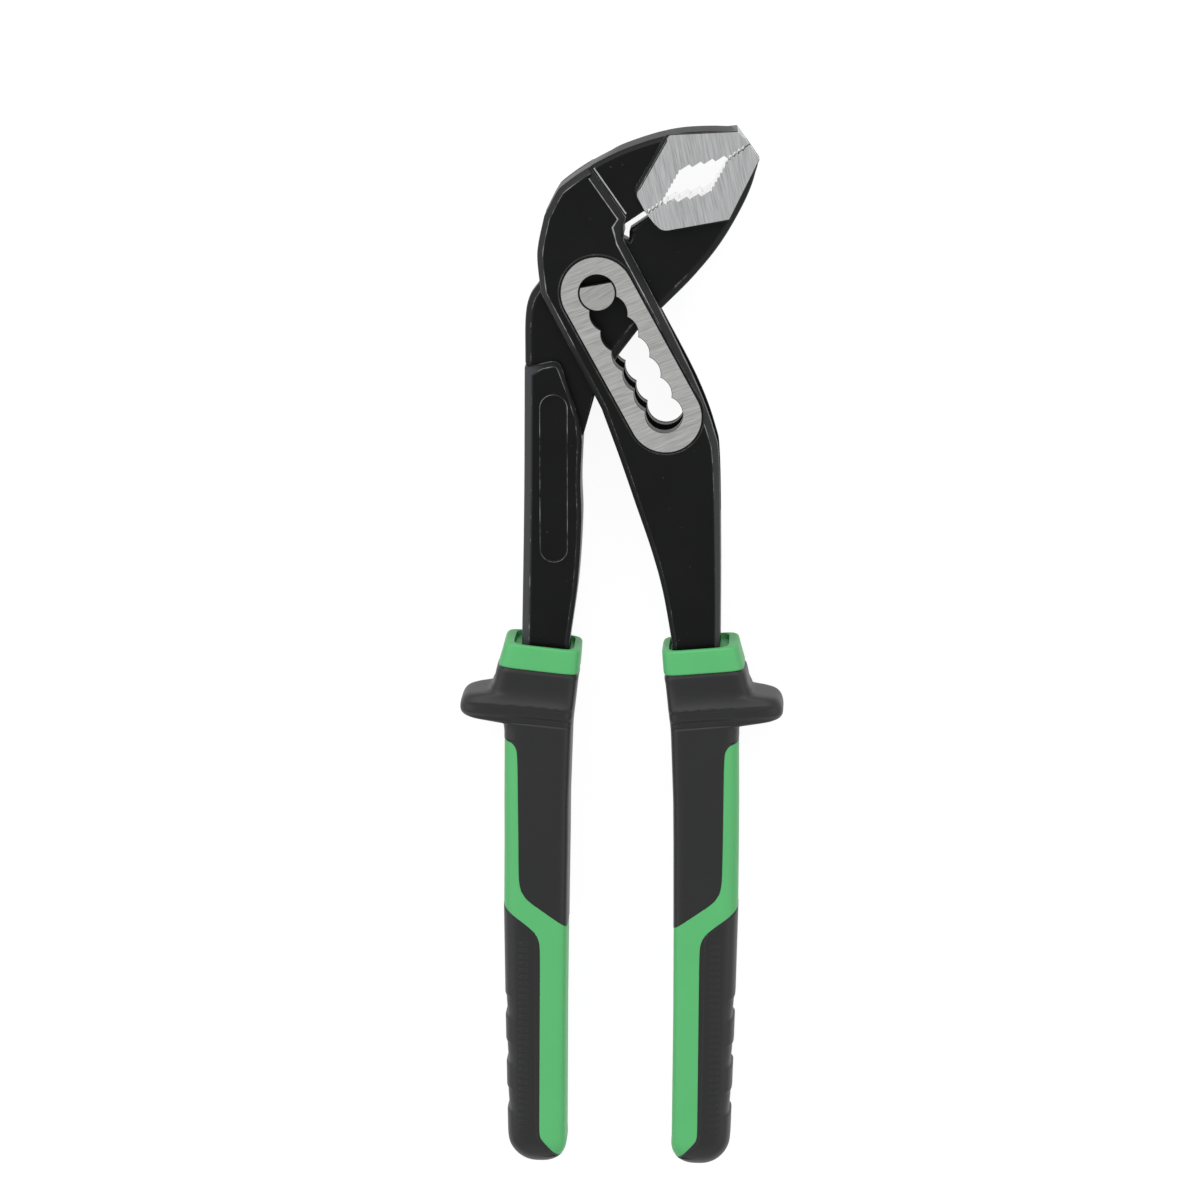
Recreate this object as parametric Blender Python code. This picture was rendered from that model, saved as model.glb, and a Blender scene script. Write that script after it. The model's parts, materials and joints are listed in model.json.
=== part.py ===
"""Water pump pliers: a seven-notch box joint, two forged levers and two-colour grips.

Sizes are in millimetres and become metres where a mesh is made. The drawing frame has the
pivot axis on Z through its origin, the jaws towards +Y and the front face towards +Z.
"""

import math

import bmesh
import bpy
import numpy as np

for old in list(bpy.data.objects):
    bpy.data.objects.remove(old, do_unlink=True)

MM = 0.001
CURVE_STEPS = 6

# Fits
FIT_GAP = 0.3
GRIP_GAP = 0.3

# Pin and slot
PIN_RADIUS = 4.9
PIN_FLAT = 2.4
PIN_FLAT_TURN = 10.9
SHANK_RADIUS = 4.6
SPIGOT_RADIUS = 1.6
SPIGOT_LENGTH = 2.0
NOTCHES = 7
NOTCH_PITCH = 6.45
SLOT_SLOPE = 61.4
LAND_WIDTH = 5.0
LAND_HEIGHT = 0.35
LAND_TAIL = 0.8
LAND_CHAMFER = 0.2
OPENING_ANGLE = 72.0

# Box joint
TONGUE_THICKNESS = 6.4
TONGUE_RADIUS = 16.2
TONGUE_CHAMFER = 0.5
CHEEK_THICKNESS = 3.5
BOX_RIM = 3.8
BOX_CHAMFER = 1.5
SLIT_MARGIN = 0.7
EDGE_STEP = 0.25

# Jaws, measured along and across the line where they meet
JAW_HEEL = (13.1, 22.2)
JAW_SLOPE = 34.3
JAW_LENGTH = 34.7
JAW_HEEL_DEPTH = 6.8
UPPER_BACK = (16.8, 13.2)
LOWER_BACK = (19.0, 13.6)
JAW_NOSE_DEPTH = 5.0
JAW_CORNER = 2.0
JAW_THICKNESS = 13.2
JAW_WEB_THICKNESS = 11.2
JAW_CHAMFER = 0.9
JAW_GAP = 0.3
RELIEF_WIDTH = 2.3
RELIEF_RISE = 0.55
RELIEF_LENGTH = 7.3
MOUTH_START = 5.9
MOUTH_END = 27.3
MOUTH_SHORT = 9.0
MOUTH_DEPTH = 4.6
FINE_TOOTH = 0.5
COARSE_TOOTH = 0.9
STRAIGHT_TEETH = 4
FINE_TEETH = 7
COARSE_TEETH = 4

# Levers between the joint and the grips
LEVER_THICKNESS = 13.0
LEVER_END_THICKNESS = 11.8
LEVER_CHAMFER = 1.5
TAPER_START = -66.0
TANG_SPREAD = 21.15
TANG_WIDTH = 13.4
TANG_SEAT = 5.0
SOCKET_ROOM = 1.5
TANG_CORE_WIDTH = 9.0
TANG_CORE_THICKNESS = 6.4
TANG_CORE_END = -225.0
PANEL_CENTRE = (-12.2, -52.9)
PANEL_WIDTH = 7.6
PANEL_LENGTH = 47.8
PANEL_DEPTH = 0.5

# Handles, mirrored about the line midway between them
HANDLE_MIDDLE = 6.5
COLLAR_TOP = -100.5
COLLAR_HEIGHT = 7.5
COLLAR_SLOPE = 2.4
COLLAR_MOUTH_WIDTH = 21.8
COLLAR_WIDTH = 23.0
COLLAR_DEPTH = 17.0
SLEEVE_DROP = 12.0
SLEEVE_WIDTH = 23.9
GRIP_LENGTH = 156.0
GRIP_WIDTH_TOP = 19.3
GRIP_WIDTH_MIDDLE = 18.4
GRIP_WIDTH_END = 16.4
GRIP_DEPTH = 17.2
COLLAR_SQUARENESS = 5.5
GRIP_SQUARENESS = 4.0
SPREAD_MOUTH = 22.1
SPREAD_COLLAR = 23.15
SPREAD_SLEEVE = 24.3
SPREAD_MIDDLE = 24.15
SPREAD_END = 23.55
GRIP_LEAN = 0.5
SKIN = 2.2
BUTT_ROUND = 7.0
GUARD_DROP = 19.0
GUARD_HEIGHT = 9.6
GUARD_REACH = 12.3
GUARD_DEPTH = 14.0
GUARD_ROUND = 2.6
GUARD_RIDGE = 1.3
STRIP_WIDTH = 3.5
STRIP_DROP = 27.5
BAND_DROP = 71.5
BAND_FALL = 12.0
BAND_HEIGHT = 6.0
PALM_STRIP_WIDTH = 7.45
PALM_STRIP_END = 3.0

# Sizes that follow
SLIT = TONGUE_THICKNESS + 2 * FIT_GAP
BOX_HALF = SLIT / 2 + CHEEK_THICKNESS
LAND_HALF = BOX_HALF + LAND_HEIGHT
LOBE_RADIUS = PIN_RADIUS + FIT_GAP
LAND_RADIUS = LOBE_RADIUS + LAND_WIDTH
BOX_SIDE = LAND_RADIUS + BOX_RIM
SLOT_LENGTH = NOTCH_PITCH * (NOTCHES - 1)
LEVER_END = COLLAR_TOP - TANG_SEAT
GRIP_END = COLLAR_TOP - GRIP_LENGTH
BAND_LEVEL = COLLAR_TOP - BAND_DROP
PIN_STEPS = (SHANK_RADIUS, SPIGOT_RADIUS, SPIGOT_RADIUS + FIT_GAP)
JAW_OVERLAP = 3.0
FAR = 60.0


# Points in the plane


def turn(degrees):
    """Unit vector at an angle from +X."""
    return np.array([math.cos(math.radians(degrees)), math.sin(math.radians(degrees))])


ALONG_SLOT = turn(-SLOT_SLOPE)
LEFT_OF_SLOT = turn(-SLOT_SLOPE - 90)
ALONG_JAW = turn(JAW_SLOPE)
ABOVE_JAW = turn(JAW_SLOPE + 90)
SLOT_END = ALONG_SLOT * SLOT_LENGTH


def slot_point(along, left):
    """A point given along the slot from its first notch and to the left of it."""
    return ALONG_SLOT * along + LEFT_OF_SLOT * left


def jaw_point(along, above):
    """A point given along the jaw line from its heel and above it."""
    return np.array(JAW_HEEL) + ALONG_JAW * along + ABOVE_JAW * above


def spun(point, degrees):
    """A point turned about the pivot."""
    c, s = turn(degrees)
    return np.array([c * point[0] - s * point[1], s * point[0] + c * point[1]])


def arc(centre, radius, start, end, steps):
    """Points on a circle from one angle to another, ends included."""
    return [np.array(centre) + radius * turn(a) for a in np.linspace(start, end, steps + 1)]


def smooth(points, steps=CURVE_STEPS):
    """A Catmull-Rom curve through the points, ends included."""
    path = [np.array(p, float) for p in points]
    path = [2 * path[0] - path[1]] + path + [2 * path[-1] - path[-2]]
    found = []
    for a, b, c, d in zip(path, path[1:], path[2:], path[3:]):
        for t in np.arange(steps) / steps:
            cubic = (3 * b - a - 3 * c + d) * t**3 + (2 * a - 5 * b + 4 * c - d) * t**2
            found.append(b + 0.5 * (cubic + (c - a) * t))
    return found + [path[-2]]


def fillet(before, corner, after, radius, steps=4):
    """An arc-like curve that rounds a corner, starting and ending at the radius from it."""
    before, corner, after = (np.array(p, float) for p in (before, corner, after))
    first = corner + radius * (before - corner) / np.linalg.norm(before - corner)
    last = corner + radius * (after - corner) / np.linalg.norm(after - corner)
    share = np.linspace(0, 1, steps + 1)[:, None]
    return list((1 - share) ** 2 * first + 2 * share * (1 - share) * corner + share**2 * last)


def teeth(start, end, count, depth):
    """Saw teeth whose tips lie on the line, cut to the left of its direction."""
    start = np.array(start)
    step = (np.array(end) - start) / count
    side = np.array([-step[1], step[0]]) / np.linalg.norm(step)
    found = []
    for i in range(count):
        found.append(start + step * i)
        found.append(start + step * (i + 0.8) + side * depth)
    return found


def inset(points, distance):
    """A counter-clockwise outline moved inwards by a distance, its corners mitred."""
    p = np.array(points)
    into = p - np.roll(p, 1, axis=0)
    onward = np.roll(p, -1, axis=0) - p
    first = np.stack([-into[:, 1], into[:, 0]], 1) / np.linalg.norm(into, axis=1)[:, None]
    second = np.stack([-onward[:, 1], onward[:, 0]], 1) / np.linalg.norm(onward, axis=1)[:, None]
    share = 1 + (first * second).sum(1)[:, None]
    return p + distance * (first + second) / np.maximum(share, 0.5)


# Solids


def make_solid(name, rings, material=None):
    """A closed solid through rings of equal count. Without a material it is a hidden helper."""
    mesh = bpy.data.meshes.new(name)
    shape = bmesh.new()
    layers = [[shape.verts.new([c * MM for c in p]) for p in ring] for ring in rings]
    for low, high in zip(layers, layers[1:]):
        for i in range(len(low)):
            j = (i + 1) % len(low)
            shape.faces.new((low[i], low[j], high[j], high[i]))
    shape.faces.new(layers[0][::-1])
    shape.faces.new(layers[-1])
    bmesh.ops.recalc_face_normals(shape, faces=shape.faces)
    shape.to_mesh(mesh)
    shape.free()
    item = bpy.data.objects.new(name, mesh)
    bpy.context.scene.collection.objects.link(item)
    item.parent = pivot
    if material:
        mesh.materials.append(material)
        mesh.shade_smooth()
        mesh.set_sharp_from_angle(angle=math.radians(30))
    else:
        item.hide_render = True
        item.display_type = "WIRE"
    return item


def level(points, height):
    """The outline's points at one height."""
    return [(p[0], p[1], height) for p in points]


def plate(name, outline, half, chamfer, material=None):
    """A plate about the middle plane with the edges of both faces chamfered."""
    small = inset(outline, chamfer)
    rings = [level(small, -half), level(outline, chamfer - half)]
    rings += [level(outline, half - chamfer), level(small, half)]
    return make_solid(name, rings, material)


def slab(name, outline, low, high, material=None):
    """A straight prism from one height to another."""
    return make_solid(name, [level(outline, low), level(outline, high)], material)


def combine(item, operation, *others):
    """Booleans on an object, in order."""
    for other in others:
        step = item.modifiers.new(other.name, "BOOLEAN")
        step.operation = operation
        step.solver = "EXACT"
        step.object = other
    return item


def finish(name, colour, roughness, metallic):
    """A plain material of the seen colour."""
    material = bpy.data.materials.new(name)
    material.use_nodes = True
    shader = material.node_tree.nodes["Principled BSDF"]
    shader.inputs["Base Color"].default_value = (*colour, 1)
    shader.inputs["Roughness"].default_value = roughness
    shader.inputs["Metallic"].default_value = metallic
    return material


# Outlines of the slot


def land_outline():
    """The ground land round the slot: two half circles joined by straight sides."""
    right = 90 - SLOT_SLOPE
    head = arc((0, 0), LAND_RADIUS, right, right + 180, 20)
    tail = SLOT_END + ALONG_SLOT * LAND_TAIL
    return head + arc(tail, LAND_RADIUS, right + 180, right + 360, 20)


def slot_outline():
    """Overlapping round notches, down the left side and back up the right."""
    reach = math.degrees(math.asin(NOTCH_PITCH / 2 / LOBE_RADIUS))
    left = -SLOT_SLOPE - 90
    last = NOTCHES - 1
    found = []
    for i in range(NOTCHES):
        start = left - (reach if i else 90)
        end = left + (reach if i < last else 90)
        steps = 12 if i in (0, last) else 6
        found += arc(ALONG_SLOT * NOTCH_PITCH * i, LOBE_RADIUS, start, end, steps)[:-1]
    for i in reversed(range(NOTCHES)):
        start = left + 180 - (reach if i < last else 90)
        end = left + 180 + (reach if i else 90)
        steps = 12 if i in (0, last) else 6
        found += arc(ALONG_SLOT * NOTCH_PITCH * i, LOBE_RADIUS, start, end, steps)[:-1]
    return found


# Outlines of the jaws


def jaw_face(side):
    """The thick ground block of one jaw, above (1) or below (-1) the jaw line."""
    heel = (0.5, side * JAW_HEEL_DEPTH)
    along, deep = UPPER_BACK if side > 0 else LOWER_BACK
    back = (along, side * deep)
    nose = (JAW_LENGTH - 1.2, side * (JAW_NOSE_DEPTH - 0.4))
    over = -side * JAW_OVERLAP
    path = [(EDGE_STEP, over)] + fillet((EDGE_STEP, 0), heel, back, JAW_CORNER)
    path += [back, nose, (JAW_LENGTH - EDGE_STEP, 0.6 * side), (JAW_LENGTH - EDGE_STEP, over)]
    points = [jaw_point(*p) for p in path]
    return points if side < 0 else points[::-1]


def bite(side):
    """The space below the upper jaw's teeth (1) or above the lower jaw's (-1)."""
    line = side * JAW_GAP / 2
    end = JAW_LENGTH - 1.5
    deep = side * MOUTH_DEPTH
    if side > 0:
        path = teeth((0.6, line), (MOUTH_START, line), STRAIGHT_TEETH, FINE_TOOTH)
        path += teeth((MOUTH_START, line), (MOUTH_START + MOUTH_SHORT, deep), FINE_TEETH, FINE_TOOTH)
        path += teeth((MOUTH_START + MOUTH_SHORT, deep), (MOUTH_END, line), COARSE_TEETH, COARSE_TOOTH)
        path += teeth((MOUTH_END, line), (end, line), STRAIGHT_TEETH, FINE_TOOTH)
        path = [(-0.5, line)] + path + [(JAW_LENGTH + 2, line)]
    else:
        path = teeth((end, line), (MOUTH_END, line), STRAIGHT_TEETH, FINE_TOOTH)
        path += teeth((MOUTH_END, line), (MOUTH_END - MOUTH_SHORT, deep), FINE_TEETH, FINE_TOOTH)
        path += teeth((MOUTH_END - MOUTH_SHORT, deep), (MOUTH_START, line), COARSE_TEETH, COARSE_TOOTH)
        path += teeth((MOUTH_START, line), (0.6, line), STRAIGHT_TEETH, FINE_TOOTH)
        path = [(JAW_LENGTH + 2, line)] + path + [(-0.5, line)]
    over = -side * 2 * JAW_OVERLAP
    path += [(path[-1][0], over), (path[0][0], over)]
    return [jaw_point(*p) for p in path]


# Outlines of the levers


def tang_edges(side):
    """The X of a lever's inner and outer edge where it enters the collar."""
    middle = HANDLE_MIDDLE + side * TANG_SPREAD
    return middle - side * TANG_WIDTH / 2, middle + side * TANG_WIDTH / 2


STEP_TOP = np.array([-2.0, 35.0])
STEP_FOOT = np.array([7.9, 21.0])
BACK_END = np.array([-14.7, 21.0])
CHEEK_TOP = slot_point(-9.0, -BOX_SIDE + 0.8)
CHEEK_SHOULDER = slot_point(11.5, -BOX_SIDE + 1.1)
HOOK = np.array([7.0, 18.0])
NECK_CORNER = np.array([-0.9, -29.8])
JAW_UNDER = np.array([26.45, 4.05])
SHOULDER = [(-19.05, -2.3), (-20.2, -8.45)]
PANEL_TOP = np.array([-20.3, -21.7])


def slotted_flank():
    """Left edge, handle end and right edge of the slotted lever, from its back to its cheek's top."""
    inner, outer = tang_edges(1)
    box_left = slot_point(29.5, BOX_SIDE + 0.8)
    path = smooth([BACK_END, (-16.3, 13.5), (-16.6, 8.5), slot_point(-7.0, BOX_SIDE)])
    neck = [box_left, (6.0, -46.5), (10.5, -59.8), (15.0, -73.2), (18.25, -85.3)]
    path += smooth(neck + [(inner, COLLAR_TOP)])
    path += [(inner, LEVER_END), (outer, LEVER_END)]
    neck = [(34.3, -75.0), (33.8, -48.2), (32.4, -39.2), (27.25, -25.4), CHEEK_SHOULDER]
    return path + smooth([(outer, COLLAR_TOP)] + neck)


def slotted_back():
    """The curved back from the jaw's nose to the top of the box's step and on to the left edge."""
    nose = jaw_point(JAW_LENGTH - 1.5, JAW_NOSE_DEPTH)
    curve = smooth([nose, (22.1, 44.2), (8.65, 40.3), STEP_TOP, (-9.25, 29.95), (-11.5, 27.3), BACK_END])
    step = 3 * CURVE_STEPS
    return curve[:step], curve[step:-1]


def web_outline():
    """The thinner part of the slotted lever that carries the upper jaw, rooted inside the box."""
    root = [STEP_TOP + (0.2, -0.6), (-3.0, 28.0), (-1.0, 17.2)]
    hook = [CHEEK_TOP, HOOK]
    heel = [jaw_point(along, RELIEF_RISE) for along in (0.8 - RELIEF_LENGTH, 0)]
    heel.append(jaw_point(0, -JAW_OVERLAP))
    nose = [jaw_point(JAW_LENGTH, -JAW_OVERLAP), jaw_point(JAW_LENGTH, 0)]
    return slotted_back()[0] + root + hook + heel + nose


def box_outline():
    """The thick part of the slotted lever, from the step behind the jaw to the collar."""
    return slotted_back()[1] + slotted_flank() + [CHEEK_TOP, HOOK, STEP_FOOT]


def slit_outline():
    """The space between the cheeks that the tongue sweeps."""
    radius = TONGUE_RADIUS + SLIT_MARGIN
    top = arc((0, 0), radius, 48, 98, 10)
    swept = [spun(p, -OPENING_ANGLE) * (1 + SLIT_MARGIN / np.linalg.norm(p)) for p in SHOULDER]
    swept = [p + (0, SLIT_MARGIN) for p in swept]
    foot_left = NECK_CORNER + (-3.4, -14.7) + SLOT_END
    foot_right = spun(JAW_UNDER, -OPENING_ANGLE) + SLOT_END + (4.5, -4.0)
    outside = [(-FAR, swept[-1][1]), (-FAR, foot_left[1]), foot_left, foot_right]
    return top + swept + outside + [(FAR, foot_right[1]), (FAR, top[0][1])]


def inner_outline():
    """The thin part of the inner lever: jaw line, tongue round the pin and lower jaw's edge."""
    gap = RELIEF_RISE - RELIEF_WIDTH
    top = [jaw_point(JAW_LENGTH, JAW_OVERLAP), jaw_point(0, JAW_OVERLAP), jaw_point(0, gap)]
    relief = [jaw_point(1.0 - RELIEF_LENGTH, gap), (8.62, 16.4), (8.6, 15.6)]
    tongue = arc((0, 0), TONGUE_RADIUS, 58, 172, 16)
    shoulder = smooth([tongue[-1]] + SHOULDER + [PANEL_TOP + (0, 1)])[1:]
    root = [PANEL_TOP + (2, -6), PANEL_TOP + (12, -26), NECK_CORNER + (-3.0, -10.7)]
    edge = [NECK_CORNER, (5.6, -18.7), (10.9, -11.6)]
    under = smooth([(18.25, -4.45), JAW_UNDER, (33.95, 13.65), (40.35, 25.15), (44.1, 35.0)])
    nose = [jaw_point(JAW_LENGTH, -JAW_NOSE_DEPTH)]
    return top + relief + tongue + shoulder + root + edge + under + nose


def panel_outline():
    """The thick part of the inner lever's handle, clear of the neck at every notch."""
    inner, outer = tang_edges(-1)
    left = smooth([PANEL_TOP, (-20.6, -60.0), (outer, COLLAR_TOP)])
    right = smooth([(inner, COLLAR_TOP), (-5.55, -82.7), (-4.5, -65.4), (-4.75, -53.9), (-4.3, -42.5)])
    top = [NECK_CORNER + (-4.15, -6.4), NECK_CORNER + (-6.1, -0.4)]
    top += fillet(NECK_CORNER + (-6.1, -0.4), NECK_CORNER + (-9.7, 10.4), PANEL_TOP, 2.0)
    return left + [(outer, LEVER_END), (inner, LEVER_END)] + right + top


def taper(name, side):
    """A wedge that thins a lever's front (1) or rear (-1) face towards its collar."""
    start = side * LEVER_THICKNESS / 2
    end = side * LEVER_END_THICKNESS / 2
    slope = (end - start) / (COLLAR_TOP - TAPER_START)
    high, low = TAPER_START + 40, LEVER_END - 20
    profile = [(high, start + slope * (high - TAPER_START)), (low, start + slope * (low - TAPER_START))]
    profile += [(low, side * FAR), (high, side * FAR)]
    return make_solid(name, [[(x, *p) for p in profile] for x in (-FAR, FAR)])


def tang_outline(side):
    """The narrow end of a lever inside its grip."""
    middle = HANDLE_MIDDLE + side * TANG_SPREAD
    lower = HANDLE_MIDDLE + side * SPREAD_MIDDLE
    half = TANG_CORE_WIDTH / 2
    top = LEVER_END + TANG_SEAT / 2
    end = [(lower - half, TANG_CORE_END), (lower + half, TANG_CORE_END)]
    return [(middle - half, top)] + end + [(middle + half, top)]


# Grips


def grip_station(drop):
    """Spread, half width and half depth of the grip at a drop below the collar's top."""
    drops = [0, 0.8 * COLLAR_HEIGHT, SLEEVE_DROP, STRIP_DROP - 2, GRIP_LENGTH / 2, GRIP_LENGTH]
    spreads = [SPREAD_MOUTH, SPREAD_COLLAR, SPREAD_SLEEVE, SPREAD_MIDDLE - 0.6, SPREAD_MIDDLE, SPREAD_END]
    widths = [COLLAR_MOUTH_WIDTH, COLLAR_WIDTH, SLEEVE_WIDTH]
    widths += [GRIP_WIDTH_TOP, GRIP_WIDTH_MIDDLE, GRIP_WIDTH_END]
    depths = [COLLAR_DEPTH - 1, COLLAR_DEPTH, COLLAR_DEPTH, GRIP_DEPTH, GRIP_DEPTH, GRIP_DEPTH - 0.6]
    ridge = GUARD_RIDGE * math.exp(-(((drop - GUARD_DROP - 2) / 4) ** 2))
    spread, wide, deep = (np.interp(drop, drops, v) for v in (spreads, widths, depths))
    return spread, wide / 2, deep / 2 + ridge


def grip_drops(top):
    """Drops of the grip's sections from its top down to where the butt begins to round."""
    collar = [top, 0.5 * COLLAR_HEIGHT + top / 2, 0.8 * COLLAR_HEIGHT + top / 4]
    guard_part = np.linspace(COLLAR_HEIGHT + top / 8, STRIP_DROP, 10)
    return collar + list(guard_part) + list(np.linspace(STRIP_DROP, GRIP_LENGTH - BUTT_ROUND, 7)[1:])


def grip_loft(name, side, shrink, top, material=None):
    """A grip-shaped body, smaller all round by shrink, from a drop of top to its round butt."""
    stations = [(drop, 0.0) for drop in grip_drops(top)]
    radius = BUTT_ROUND - shrink
    for angle in (30, 60, 90):
        c, s = turn(angle)
        stations.append((GRIP_LENGTH - BUTT_ROUND + radius * s, radius * (1 - c)))
    angles = np.linspace(0, 2 * math.pi, 24, endpoint=False)
    c, s = np.cos(angles), np.sin(angles)
    rings = []
    for drop, closing in stations:
        spread, wide, deep = grip_station(drop)
        power = 2 / np.interp(drop, [COLLAR_HEIGHT, STRIP_DROP], [COLLAR_SQUARENESS, GRIP_SQUARENESS])
        x = np.sign(c) * np.abs(c) ** power * (wide - shrink - closing)
        z = np.sign(s) * np.abs(s) ** power * (deep - shrink - closing)
        y = np.full_like(x, COLLAR_TOP - drop)
        middle = HANDLE_MIDDLE - GRIP_LEAN * drop / GRIP_LENGTH
        rings.append(np.stack([middle + side * (spread + x), y, z], 1))
    return make_solid(name, rings, material)


def handle_outline(points, side):
    """Points given outwards from the middle line, put on one side and kept counter-clockwise."""
    placed = [(HANDLE_MIDDLE + side * out, y) for out, y in points]
    return placed if side > 0 else placed[::-1]


def collar_region(side, room):
    """The part of the grip that belongs to the collar, with room above its sloping top."""
    foot = COLLAR_TOP - COLLAR_HEIGHT
    tilt = COLLAR_SLOPE / COLLAR_WIDTH
    near, far = SPREAD_COLLAR - FAR / 2, SPREAD_COLLAR + FAR / 2
    points = [(near, foot - tilt * FAR / 2), (far, foot + tilt * FAR / 2)]
    points += [(out, COLLAR_TOP + tilt * (out - SPREAD_COLLAR) - 0.3 + room) for out in (far, near)]
    return handle_outline(points, side)


def band_edges():
    """Upper and lower edge of the S-shaped band, from the outer side inwards."""
    strip = SPREAD_MIDDLE + GRIP_WIDTH_MIDDLE / 2 - STRIP_WIDTH
    inside = SPREAD_MIDDLE - GRIP_WIDTH_MIDDLE / 2
    palm = inside + PALM_STRIP_WIDTH
    strip_top = (strip, COLLAR_TOP - STRIP_DROP)
    bend = (strip, BAND_LEVEL)
    out = (inside - FAR / 4, BAND_LEVEL - BAND_FALL * (1 + FAR / 4 / (strip - inside)))
    upper = [strip_top] + fillet(strip_top, bend, out, 4.0) + [out]
    shoulder = (strip + STRIP_WIDTH + FAR / 4, BAND_LEVEL - BAND_HEIGHT + 0.7 * FAR / 4)
    turn_in = (palm - 0.2, BAND_LEVEL - BAND_HEIGHT - BAND_FALL)
    strip_end = (palm, GRIP_END + 3 * PALM_STRIP_END)
    lower = [shoulder] + fillet(shoulder, turn_in, strip_end, 5.0) + [strip_end]
    return upper, lower + [(palm - PALM_STRIP_WIDTH / 2, GRIP_END + PALM_STRIP_END)]


def band_region(side):
    """The part of the grip that belongs to the outer strip, the S-shaped band and the palm strip."""
    upper, lower = band_edges()
    inside = upper[-1][0]
    foot = lower[-1][1]
    points = upper + [(inside, foot)] + lower[::-1] + [(lower[0][0], upper[0][1])]
    return handle_outline(points, side)


def beyond_band(side, upwards):
    """Everything above (1) or below (-1) the middle of the S-shaped band."""
    upper, lower = band_edges()
    near = (upper[-1][0], upper[-1][1] - BAND_HEIGHT / 2)
    far = (lower[0][0], lower[0][1] + BAND_HEIGHT / 2)
    edge = near[1] + upwards * FAR * 5
    corners = [near, far, (far[0], edge), (near[0], edge)]
    return handle_outline(corners if upwards > 0 else corners[::-1], side)


def guard_outline(side):
    """The thumb guard seen from the front, with a hollow where it leaves the sleeve."""
    root = SPREAD_MIDDLE + GRIP_WIDTH_TOP / 2 - 0.7
    level_line = COLLAR_TOP - GUARD_DROP
    top, foot = level_line + GUARD_HEIGHT / 2, level_line - GUARD_HEIGHT / 2
    tip = root + GUARD_REACH
    path = [(root - 5, foot), (root, foot), (tip - 4.4, foot + 1.4), (tip - 1.4, foot + 2.4)]
    path += [(tip, level_line), (tip - 0.5, level_line + 2.2), (tip - 2.0, top - 0.6)]
    path += [(tip - 4.6, top), (root + 4.5, top + 0.2), (root + 2.6, top + 1.8), (root - 5, top + 1.8)]
    return handle_outline(path, side)


def guard(name, side):
    """The thumb guard with its edges rounded."""
    outline = guard_outline(side)
    rings = []
    for angle in (-60, -25, 25, 60):
        drawn_in = GUARD_ROUND * (1 - math.cos(math.radians(angle)))
        height = GUARD_DEPTH / 2 - GUARD_ROUND * (1 - math.sin(math.radians(abs(angle))))
        rings.append(level(inset(outline, drawn_in), math.copysign(height, angle)))
    return make_solid(name, rings)


def make_grip(word, side, core_finish, skin_finish):
    """The green core, the black guard sleeve and the black palm pad of one handle."""
    hollow = grip_loft(word + "_hollow", side, SKIN, COLLAR_HEIGHT / 2)
    collar = slab(word + "_collar", collar_region(side, 0), -FAR, FAR)
    band = slab(word + "_band", band_region(side), -FAR, FAR)
    wide_collar = slab(word + "_collar_room", inset(collar_region(side, FAR), -GRIP_GAP), -FAR, FAR)
    wide_band = slab(word + "_band_room", inset(band_region(side), -GRIP_GAP), -FAR, FAR)
    lower = slab(word + "_lower", beyond_band(side, -1), -FAR, FAR)
    upper = slab(word + "_upper", beyond_band(side, 1), -FAR, FAR)

    inner, outer = tang_edges(side)
    left, right = sorted((inner - side * GRIP_GAP, outer + side * SOCKET_ROOM))
    half = LEVER_END_THICKNESS / 2 + GRIP_GAP
    floor = LEVER_END - GRIP_GAP
    mouth = [(left, floor), (right, floor), (right, FAR + COLLAR_TOP), (left, FAR + COLLAR_TOP)]
    socket = slab(word + "_socket", mouth, -half, half)
    deep = TANG_CORE_THICKNESS / 2 + GRIP_GAP
    way = slab(word + "_tang_way", inset(tang_outline(side), -GRIP_GAP), -deep, deep)

    core = grip_loft(word + "_grip_core", side, SKIN + GRIP_GAP, COLLAR_HEIGHT / 2, core_finish)
    raised_collar = combine(grip_loft(word + "_raised_collar", side, 0, -2.5), "INTERSECT", collar)
    raised_band = combine(grip_loft(word + "_raised_band", side, 0, 0), "INTERSECT", band)
    combine(core, "UNION", raised_collar, raised_band)
    combine(core, "DIFFERENCE", socket, way)

    sleeve = grip_loft(word + "_guard_sleeve", side, 0, 0, skin_finish)
    combine(sleeve, "UNION", guard(word + "_guard", side))
    combine(sleeve, "DIFFERENCE", hollow, wide_collar, wide_band, lower)

    pad = grip_loft(word + "_palm_pad", side, 0, 0, skin_finish)
    combine(pad, "DIFFERENCE", hollow, wide_band, upper)


# Levers and pin


def make_slotted_lever(material):
    """Upper jaw, box with its slit and slot, neck and tang in one forging."""
    lever = plate("slotted_lever", box_outline(), BOX_HALF, BOX_CHAMFER, material)
    web = plate("jaw_web", web_outline(), JAW_WEB_THICKNESS / 2, JAW_CHAMFER)
    land = plate("slot_land", land_outline(), LAND_HALF, LAND_CHAMFER)
    face = plate("upper_jaw_face", jaw_face(1), JAW_THICKNESS / 2, JAW_CHAMFER)
    combine(lever, "DIFFERENCE", taper("right_front_taper", 1), taper("right_rear_taper", -1))
    half = TANG_CORE_THICKNESS / 2
    end = slab("right_tang", tang_outline(1), -half, half)
    combine(lever, "UNION", web, land, face, end)
    slit = slab("slit", slit_outline(), -SLIT / 2, SLIT / 2)
    slot = slab("slot", slot_outline(), -FAR, FAR)
    combine(lever, "DIFFERENCE", slab("upper_bite", bite(1), -FAR, FAR), slit, slot)


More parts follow.
